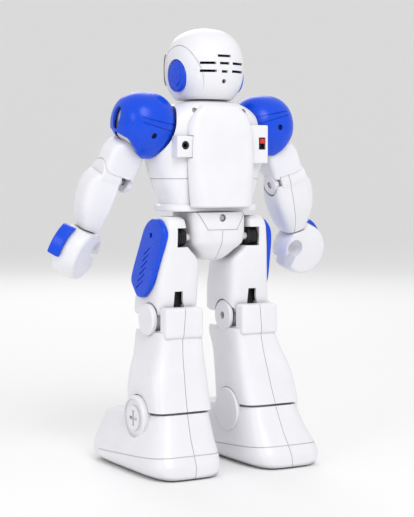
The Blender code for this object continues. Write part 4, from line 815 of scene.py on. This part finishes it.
def leg(side):
    label = "left" if side > 0 else "right"
    hip = Frame("hip_frame_" + label, (HIP[0] * side, HIP[1], HIP[2]), ROOT)
    knee = Frame("knee_frame_" + label, (KNEE[0] * side, KNEE[1], KNEE[2]), hip)
    ankle = Frame("ankle_frame_" + label, (ANKLE[0] * side, ANKLE[1], ANKLE[2]), knee)
    spin = Frame("wheel_frame_" + label, (WHEEL[0] * side, WHEEL[1], WHEEL[2]), ankle)
    cut = "DIFFERENCE"

    core = publish("hip_core_" + label, barrel("X", -4.5, 1.6, HIP_CORE_R, HIP, 20, 0.4), hip, side,
                   "black_part")
    bore = barrel("X", -30.0, 1.2, HIP_AXLE_R + AXLE_CLEARANCE, HIP, 16)
    combine(core, cutter(bore, hip, side), cut)
    thigh = publish("thigh_shell_" + label, loft(THIGH_ROWS, 16), hip, side, "white_shell")
    tongue = barrel("X", -11.4, 11.0, 7.2, KNEE, 16, 0.5)
    combine(thigh, cutter(tongue, hip, side), "UNION")
    hollow = loft([(97.0, 15.0, 36.6, -19.2, 9.8, 6.0), (119.0, 12.6, 35.0, -16.2, 12.0, 6.0),
                   (124.0, 14.0, 34.6, -15.0, 12.4, 6.0), (134.0, 22.4, 33.4, -12.4, 13.8, 5.0),
                   (144.0, 22.6, 32.2, -8.0, 12.4, 5.0)], 12)
    combine(thigh, cutter(hollow, hip, side), cut)
    notch = block((0.0, HIP[1] - HIP_CORE_R - 0.4, HIP[2] - HIP_CORE_R - SEAM),
                  (HIP[0] + 2.0, 60.0, HIP[2] + HIP_CORE_R + SEAM))
    combine(thigh, cutter(notch, hip, side), cut)
    for start, end in ((-30.0, -12.2), (11.6, 40.0)):
        relief = barrel("X", start, end, KNEE_LUG_R + 0.6, KNEE, 20)
        combine(thigh, cutter(relief, hip, side), cut)
    pin_bore = barrel("X", -30.0, 30.0, KNEE_PIN_R + PIN_CLEARANCE, KNEE, 12)
    combine(thigh, cutter(pin_bore, hip, side), cut)
    # the moulded slot above the calf is the same way round on both legs
    slot_at = 25.3 * side
    slot = [(slot_at + 2.7, 105.0), (slot_at + 3.4, 93.5), (slot_at - 4.5, 93.5),
            (slot_at - 2.9, 99.5), (slot_at - 2.7, 105.0)]
    combine(thigh, cutter(prism(slot, "Y", 6.0, 30.0), hip), cut)

    pad = prism(rounded(THIGH_PAD, 5.0), "X", 30.0, 41.2, 1.4)
    for v in pad.verts:
        if v.co.x > 36.0:
            v.co.x += PAD_LEAN * (THIGH_PAD_FOOT - v.co.z)
    pad_obj = publish("thigh_pad_" + label, pad, hip, side, "blue_trim")
    clear = loft([(r[0], r[1] - SEAM, r[2] + SEAM, r[3] - SEAM, r[4] + SEAM, r[5])
                  for r in THIGH_ROWS], 16)
    combine(pad_obj, cutter(clear, hip, side), cut)
    pad_hole = barrel("X", 2.0, 30.0, 1.6, (34.0, 0.5, 137.8), 10)
    combine(pad_obj, cutter(pad_hole, hip, side), cut)

    for half, keep_outer in (("outer", True), ("inner", False)):
        shell = publish("shin_%s_%s" % (half, label), loft(SHIN_ROWS, 16), knee, side,
                        "white_shell")
        calf_block = block((13.2, 6.0, 78.0), (38.2, 20.9, 96.0), 2.4)
        combine(shell, cutter(calf_block, knee, side), "UNION")
        lug = barrel("X", 11.9, 15.5, KNEE_LUG_R, KNEE, 20, 0.8)
        if keep_outer:
            combine(shell, cutter(lug, knee, side), "UNION")
        else:
            lug.free()
            lug = barrel("X", -15.9, -12.5, KNEE_LUG_R, KNEE, 20, 0.8)
            combine(shell, cutter(lug, knee, side), "UNION")
        well = block((12.6, -30.0, 82.0), (38.8, 13.4, 99.0))
        combine(shell, cutter(well, knee, side), cut)
        well = loft([(78.0, 14.0, 38.1, -17.6, 13.4, 8.0), (83.0, 14.0, 38.1, -30.0, 13.4, 8.0)], 12)
        combine(shell, cutter(well, knee, side), cut)
        hollow = loft([(33.0, 14.6, 45.6, -10.0, 28.6, 6.0), (46.0, 14.2, 45.6, -10.5, 25.8, 6.0),
                       (57.0, 13.0, 44.0, -11.6, 22.6, 6.0), (67.0, 13.0, 40.6, -13.2, 19.6, 6.0),
                       (79.5, 14.6, 37.8, -16.8, 12.8, 8.0)], 12)
        combine(shell, cutter(hollow, knee, side), cut)
        combine(shell, cutter(leg_seam(keep_outer), knee, side), cut)
        for start, end in ((-60.0, -17.9), (16.2, 60.0)):
            room = barrel("X", start, end, ANKLE_RING_R + 0.4, ANKLE, 18)
            combine(shell, cutter(room, knee, side), cut)
        pin_hole = barrel("X", -40.0, 40.0, ANKLE_PIN_R + PIN_CLEARANCE, ANKLE, 12)
        combine(shell, cutter(pin_hole, knee, side), cut)
        pin_hole = barrel("X", -30.0, 13.6, KNEE_PIN_R + PIN_CLEARANCE, KNEE, 12)
        combine(shell, cutter(pin_hole, knee, side), cut)
    publish("knee_pin_" + label, barrel("X", -14.0, 13.2, KNEE_PIN_R, KNEE, 12, 0.3), knee, side,
            "steel")

    for half, keep_outer in (("outer", True), ("inner", False)):
        shell = publish("foot_%s_%s" % (half, label), loft(FOOT_ROWS, 20), ankle, side,
                        "white_shell")
        if keep_outer:
            ring = barrel("X", 16.6, 22.2, ANKLE_RING_R, ANKLE, 18, 0.8)
        else:
            ring = barrel("X", -21.4, -18.3, ANKLE_RING_R, ANKLE, 18, 0.8)
        combine(shell, cutter(ring, ankle, side), "UNION")
        hollow = loft([(-3.0, 16.0, 51.5, -41.5, 43.0, 5.0), (3.4, 16.0, 51.5, -41.5, 43.0, 5.0),
                       (7.0, 13.4, 55.4, -45.0, 42.8, 5.0), (22.0, 13.6, 50.6, -42.4, 34.4, 5.0),
                       (32.6, 14.4, 47.2, -36.0, 29.0, 5.0, 0.05)], 14)
        combine(shell, cutter(hollow, ankle, side), cut)
        combine(shell, cutter(leg_seam(keep_outer), ankle, side), cut)
        pin_hole = barrel("X", -20.0, 18.6, ANKLE_PIN_R + PIN_CLEARANCE, ANKLE, 12)
        combine(shell, cutter(pin_hole, ankle, side), cut)
    publish("ankle_pin_" + label, barrel("X", -19.6, 18.2, ANKLE_PIN_R, ANKLE, 12, 0.3), ankle,
            side, "steel")
    plate = publish("sole_plate_" + label, loft([(1.0, 17.0, 50.6, -40.4, 42.0, 5.0),
                                                 (2.8, 17.0, 50.6, -40.4, 42.0, 5.0)], 20),
                    ankle, side, "black_part")
    skid = block((24.0, -36.0, 0.0), (44.0, -28.0, 2.0))
    combine(plate, cutter(skid, ankle, side), "UNION")
    cheek = block((26.0, 14.0, 2.0), (42.0, 30.0, 10.0))
    combine(plate, cutter(cheek, ankle, side), "UNION")
    bay_cut = block((29.4, 15.4, -2.0), (38.6, 28.6, 14.0))
    combine(plate, cutter(bay_cut, ankle, side), cut)
    stub_hole = barrel("X", -6.4, 6.4, 1.7, WHEEL, 16)
    combine(plate, cutter(stub_hole, ankle, side), cut)
    wheel = turned("X", [(-6.2, 1.6), (-4.3, 1.6), (-4.2, WHEEL_R - 0.6), (-3.6, WHEEL_R),
                         (3.6, WHEEL_R), (4.2, WHEEL_R - 0.6), (4.3, 1.6), (6.2, 1.6)], WHEEL, 16)
    publish("drive_wheel_" + label, wheel, spin, side, "wheel_rubber")


leg(1)
leg(-1)

# ---------------------------------------------------------------- engraved and raised detail
EXTRA_BODY = {}


def engrave(node, slab, core, frame, side=1):
    """Cut the slab into the piece, but no deeper than the core form."""
    tool = cutter(slab, frame, side)
    combine(tool, cutter(core, frame, side), "DIFFERENCE")
    combine(PIECES[node][0], tool, "DIFFERENCE")


def extra(name, bm, frame, side, material, body):
    EXTRA_BODY[name] = body
    return publish(name, bm, frame, side, material)


# ---------------------------------------------------------------- moulded detail
# torso belt line, pelvis panel and boss recesses
belt = block((-60, -60, 170.7), (60, 60, 171.2))
engrave("torso_rear_shell", belt, loft(TORSO_ROWS, 20, LINE_DEPTH), TORSO)
for side in (1, -1):
    boss = barrel("Y", -3.0, 6.0, 1.7, (16.6 * side, 17.0, 210.6), 10)
    combine(PIECES["torso_rear_shell"][0], cutter(boss, TORSO), "DIFFERENCE")
    edge = block((12.9 - 0.25, 10.0, 139.9), (12.9 + 0.25, 30.0, 152.2), 0.0, ("Y", 30.7),
                 (13.1, 20.0, 146.0))
    engrave("pelvis_rear_shell", edge, loft(PELVIS_ROWS, 20, LINE_DEPTH), TORSO, side)
fold = block((-10.3, 10.0, 140.7), (10.3, 30.0, 141.2))
engrave("pelvis_rear_shell", fold, loft(PELVIS_ROWS, 20, LINE_DEPTH), TORSO)
keel = block((-0.22, 10.0, 100.0), (0.22, 30.0, 141.0))
engrave("pelvis_rear_shell", keel, loft(PELVIS_ROWS, 20, 0.4), TORSO)

# head: a panel line around each ear cap
for side in (1, -1):
    for node in ("head_rear_shell", "head_front_shell"):
        ring = turned_shell("X", [(-8.0, 17.6), (14.0, 17.6), (14.0, 18.1), (-8.0, 18.1)], EAR, 32)
        engrave(node, ring, head_form(-0.4, 214.0), HEAD, side)

for side in (1, -1):
    label = "left" if side > 0 else "right"
    # shoulder pad: two creases over the dome, and a black plug inside each hole as painted shade in the
    # screw hole
    shoulder_at = (SHOULDER[0] * side, SHOULDER[1], SHOULDER[2])
    swing = Frame("shoulder_look_" + label, shoulder_at, TORSO, (SHOULDER_REST[side], 0.0, 0.0))
    x, y, z = SHOULDER
    for lift, lean in ((6.4, -11.0), (3.2, -15.0)):
        crease = block((x - 30.0, y - 40.0, z + lift - 0.3), (x + 9.0, y + 40.0, z + lift + 0.3), 0.0,
                       ("Y", lean), (x, y, z + lift))
        core = turned("X", pad_profile(-0.45, -0.2, 30), SHOULDER, 24)
        engrave("shoulder_pad_" + label, crease, core, swing, side)
    for fore in (1, -1):
        # black plug just inside the screw hole: painted shade, a dark piece standing in for the shade in
        # the hole
        well = barrel("Y", 12.9 * fore, 16.6 * fore, 1.62, (x + 1.6, y, z - 2.2), 8)
        extra("pad_screw_well_%s_%s" % ("rear" if fore > 0 else "front", label), well, swing, side,
              "black_part", "upper_arm_" + label)
    # thigh: pad grooves, and a black sheet behind the moulded slot as painted shade in the opening
    hip = Frame("hip_look_" + label, (HIP[0] * side, HIP[1], HIP[2]), ROOT)
    for k in range(6):
        groove_z = 108.5 + 4.0 * k
        groove_y = -8.0 + 0.28 * (groove_z - 108.0)
        surface = 41.2 - PAD_LEAN * (groove_z - THIGH_PAD_FOOT)
        groove = block((surface - 0.7, groove_y - 4.4, groove_z - 0.4),
                       (surface + 6.0, groove_y + 4.4, groove_z + 0.4), 0.0, ("X", 32.0))
        combine(PIECES["thigh_pad_" + label][0], cutter(groove, hip, side), "DIFFERENCE")
    for k in range(4):
        start = -3.8 + 1.3 * k
        rib = turned_shell("X", [(start, HIP_CORE_R - 0.5), (start + 0.6, HIP_CORE_R - 0.5),
                                 (start + 0.6, HIP_CORE_R + 2.0), (start, HIP_CORE_R + 2.0)], HIP, 24)
        combine(PIECES["hip_core_" + label][0], cutter(rib, hip, side), "DIFFERENCE")
    # thin black sheet inside the thigh behind the slot: painted shade, a dark piece standing in for the
    # shade seen through the opening
    slot_shade_sheet = block((17.0, 6.4, 92.0), (34.0, 7.6, 107.0), 0.3)
    extra("thigh_slot_panel_" + label, slot_shade_sheet, hip, side, "black_part", "thigh_" + label)
    # ankle hub: dished ring and crossed boss
    ankle = Frame("ankle_look_" + label, (ANKLE[0] * side, ANKLE[1], ANKLE[2]), ROOT)
    foot_piece = PIECES["foot_outer_" + label][0]
    dish = turned_shell("X", [(21.2, 11.2), (23.0, 11.4), (23.0, 7.2), (21.2, 7.4)], ANKLE, 24)
    combine(foot_piece, cutter(dish, ankle, side), "DIFFERENCE")
    for low, high in (((20.9, -4.6, -0.9), (23.0, 4.6, 0.9)), ((20.9, -0.9, -4.6), (23.0, 0.9, 4.6))):
        cross = block(Vector(ANKLE) + Vector(low), Vector(ANKLE) + Vector(high))
        combine(foot_piece, cutter(cross, ankle, side), "DIFFERENCE")
    # foot: heel line that drops towards the toes
    for half in ("outer", "inner"):
        line = block((-10.0, -30.0, 10.9), (70.0, 60.0, 11.4), 0.0, ("X", 4.2), (30.0, 10.0, 11.0))
        engrave("foot_%s_%s" % (half, label), line, loft(FOOT_ROWS, 20, LINE_DEPTH), ankle, side)

# ---------------------------------------------------------------- finishing the pieces
def settle(obj, rounding):
    """Apply the piece's cuts, keep it in the CAD part's box and round its moulded edges."""
    evaluated = obj.evaluated_get(bpy.context.evaluated_depsgraph_get())
    mesh = bpy.data.meshes.new_from_object(evaluated)
    obj.modifiers.clear()
    obj.data = mesh
    for vertex in mesh.vertices:
        for axis in range(3):
            vertex.co[axis] = min(max(vertex.co[axis], CAD_LOW[axis]), CAD_HIGH[axis])
    bevel = obj.modifiers.new("moulded_edges", "BEVEL")
    bevel.width = rounding * MM
    bevel.segments = 2
    bevel.limit_method = "ANGLE"
    bevel.angle_limit = math.radians(SHARP_ANGLE)
    for polygon in mesh.polygons:
        polygon.use_smooth = True
    mesh.set_sharp_from_angle(angle=math.radians(SHARP_ANGLE))


for node, (piece, material_name) in PIECES.items():
    settle(piece, EDGE_ROUND)
for old in list(CUTTERS.objects):
    bpy.data.objects.remove(old, do_unlink=True)
bpy.data.collections.remove(CUTTERS)

# ---------------------------------------------------------------- finishes
def plastic(name, colour, dull, coat=0.0, grain=0.04, painted_crevice_shade=0.06, metallic=0.0, shine=0.5):
    """Moulded finish: faint random variation in colour, uneven sheen, fine grain, and painted shade that
    darkens the colour in seams and crevices from ambient occlusion.
    """
    material = bpy.data.materials.new("finish_" + name)
    material.use_nodes = True
    tree = material.node_tree
    shader = tree.nodes["Principled BSDF"]
    shader.inputs["Metallic"].default_value = metallic
    shader.inputs["Specular IOR Level"].default_value = shine
    shader.inputs["Coat Weight"].default_value = coat
    shader.inputs["Coat Roughness"].default_value = 0.12
    place = tree.nodes.new("ShaderNodeTexCoord")

    def noise(scale, detail):
        node = tree.nodes.new("ShaderNodeTexNoise")
        node.inputs["Scale"].default_value = scale
        node.inputs["Detail"].default_value = detail
        tree.links.new(place.outputs["Object"], node.inputs["Vector"])
        return node.outputs["Fac"]

    def ramp(source, low, high, start=0.35, end=0.65):
        node = tree.nodes.new("ShaderNodeValToRGB")
        node.color_ramp.elements[0].position = start
        node.color_ramp.elements[1].position = end
        node.color_ramp.elements[0].color = (*low, 1.0)
        node.color_ramp.elements[1].color = (*high, 1.0)
        tree.links.new(source, node.inputs["Fac"])
        return node.outputs["Color"]

    tone_drift_and_painted_shade = ramp(noise(45.0, 4.0), [c * 0.965 for c in colour], colour)
    # painted shade: ambient occlusion darkens the base colour in seams, creases and recesses, where
    # shade falls
    if painted_crevice_shade:
        hollow = tree.nodes.new("ShaderNodeAmbientOcclusion")
        hollow.inputs["Distance"].default_value = 0.005
        hollow.samples = 6
        shade = ramp(hollow.outputs["AO"], [1.0 - painted_crevice_shade * 6, 1.0 - painted_crevice_shade * 6.6, 1.0 - painted_crevice_shade * 6.8],
                     (1.0, 1.0, 1.0), 0.15, 0.85)
        mix = tree.nodes.new("ShaderNodeMixRGB")
        mix.blend_type = "MULTIPLY"
        mix.inputs["Fac"].default_value = 1.0
        tree.links.new(tone_drift_and_painted_shade, mix.inputs["Color1"])
        tree.links.new(shade, mix.inputs["Color2"])
        tone_drift_and_painted_shade = mix.outputs["Color"]
    tree.links.new(tone_drift_and_painted_shade, shader.inputs["Base Color"])
    sheen = ramp(noise(120.0, 6.0), [dull * 0.85] * 3, [min(1.0, dull * 1.2)] * 3)
    tree.links.new(sheen, shader.inputs["Roughness"])
    bump = tree.nodes.new("ShaderNodeBump")
    bump.inputs["Strength"].default_value = grain
    bump.inputs["Distance"].default_value = 0.0002
    tree.links.new(noise(2200.0, 2.0), bump.inputs["Height"])
    tree.links.new(bump.outputs["Normal"], shader.inputs["Normal"])
    return material


# the fifth number of each finish sets how strongly painted shade darkens its seams and crevices
MATERIALS.update({
    "white_shell": plastic("white_shell", (0.84, 0.84, 0.875), 0.38, 0.12, 0.05, 0.055),
    "blue_trim": plastic("blue_trim", (0.0, 0.068, 0.72), 0.3, 0.08, 0.05, 0.04, 0.0, 0.3),
    "black_part": plastic("black_part", (0.012, 0.012, 0.014), 0.45, 0.0, 0.12, 0.03),
    "visor_black": plastic("visor_black", (0.01, 0.01, 0.013), 0.08, 0.6, 0.0, 0.0),
    "eye_lens": plastic("eye_lens", (0.30, 0.68, 0.92), 0.10, 0.8, 0.0, 0.0),
    "red_switch": plastic("red_switch", (0.72, 0.03, 0.02), 0.34, 0.1, 0.05, 0.04),
    "steel": plastic("steel", (0.52, 0.50, 0.48), 0.32, 0.0, 0.06, 0.04, 1.0),
    "circuit_green": plastic("circuit_green", (0.03, 0.22, 0.09), 0.45, 0.0, 0.1, 0.04),
    "battery_wrap": plastic("battery_wrap", (0.05, 0.16, 0.42), 0.35, 0.2, 0.05, 0.04),
    "wheel_rubber": plastic("wheel_rubber", (0.02, 0.02, 0.02), 0.75, 0.0, 0.25, 0.03),
})

for node, (piece, material_name) in PIECES.items():
    piece.data.materials.clear()
    piece.data.materials.append(MATERIALS[material_name])
    for polygon in piece.data.polygons:
        polygon.material_index = 0
    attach(piece, EXTRA_BODY.get(node) or CAD_BODY[node])
    if node in CAD_BODY:
        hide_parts(node)

# ---------------------------------------------------------------- stage
FLOOR_RADIUS = 1.7         # metres
SWEEP_RADIUS = 1.6         # upward curve of the backdrop
STAGE_SIDES = 96
stage_profile = [(0.02, 0.0), (0.4, 0.0), (0.9, 0.0), (FLOOR_RADIUS, 0.0)]
for k in range(1, 13):
    angle = math.radians(60.0 * k / 12)
    stage_profile.append((FLOOR_RADIUS + SWEEP_RADIUS * math.sin(angle),
                          SWEEP_RADIUS * (1 - math.cos(angle))))
stage = bmesh.new()
rims = []
for radius, height in stage_profile:
    rims.append([stage.verts.new((radius * math.cos(2 * math.pi * i / STAGE_SIDES),
                                  radius * math.sin(2 * math.pi * i / STAGE_SIDES), height))
                 for i in range(STAGE_SIDES)])
for low, high in zip(rims, rims[1:]):
    for i in range(STAGE_SIDES):
        stage.faces.new((low[i], low[(i + 1) % STAGE_SIDES], high[(i + 1) % STAGE_SIDES], high[i]))
stage.faces.new(list(reversed(rims[0])))
floor_mesh = bpy.data.meshes.new("floor")
bmesh.ops.recalc_face_normals(stage, faces=stage.faces)
stage.to_mesh(floor_mesh)
stage.free()
for polygon in floor_mesh.polygons:
    polygon.use_smooth = True
floor = bpy.data.objects.new("floor", floor_mesh)
bpy.context.scene.collection.objects.link(floor)
floor_finish = bpy.data.materials.new("finish_floor")
floor_finish.use_nodes = True
floor_shader = floor_finish.node_tree.nodes["Principled BSDF"]
floor_shader.inputs["Base Color"].default_value = (0.93, 0.93, 0.93, 1.0)
floor_shader.inputs["Roughness"].default_value = 0.9
floor_mesh.materials.append(floor_finish)


def soft_light(name, place, aim, size, watts):
    lamp = bpy.data.lights.new(name, "AREA")
    lamp.shape = "DISK"
    lamp.size = size
    lamp.energy = watts
    obj = bpy.data.objects.new(name, lamp)
    bpy.context.scene.collection.objects.link(obj)
    obj.location = place
    obj.rotation_euler = (Vector(aim) - Vector(place)).to_track_quat("-Z", "Y").to_euler()
    return obj


MIDDLE = Vector((0.0, 0.001, 0.123))
soft_light("key_light", (0.2, 1.1, 1.15), MIDDLE, 0.8, 8.5)
soft_light("side_light", (1.3, 0.5, 0.7), MIDDLE, 0.6, 2.0)
soft_light("front_light", (-0.5, -1.2, 1.0), MIDDLE, 0.9, 4.5)
world = bpy.data.worlds.new("studio")
world.use_nodes = True
sky = world.node_tree.nodes["Background"]
sky.inputs["Color"].default_value = (1.0, 1.0, 1.0, 1.0)
sky.inputs["Strength"].default_value = 0.7
bpy.context.scene.world = world
bpy.context.scene.view_settings.view_transform = "Standard"

VIEW_AZIMUTH, VIEW_ELEVATION, VIEW_DISTANCE = math.radians(150.0), math.radians(3.45), 0.86
SENSOR_WIDTH, FOCAL_LENGTH = 36.0, 99.64
FRAMING_SHIFT = 0.0039
camera = bpy.data.objects.new("camera", bpy.data.cameras.new("camera"))
bpy.context.scene.collection.objects.link(camera)
back = Vector((math.sin(VIEW_AZIMUTH) * math.cos(VIEW_ELEVATION),
               -math.cos(VIEW_AZIMUTH) * math.cos(VIEW_ELEVATION), math.sin(VIEW_ELEVATION)))
camera.location = MIDDLE + VIEW_DISTANCE * back
camera.rotation_euler = (-back).to_track_quat("-Z", "Y").to_euler()
camera.data.sensor_width = SENSOR_WIDTH
camera.data.lens = FOCAL_LENGTH
camera.data.shift_x = FRAMING_SHIFT
camera.data.clip_start = 0.01
bpy.context.scene.camera = camera
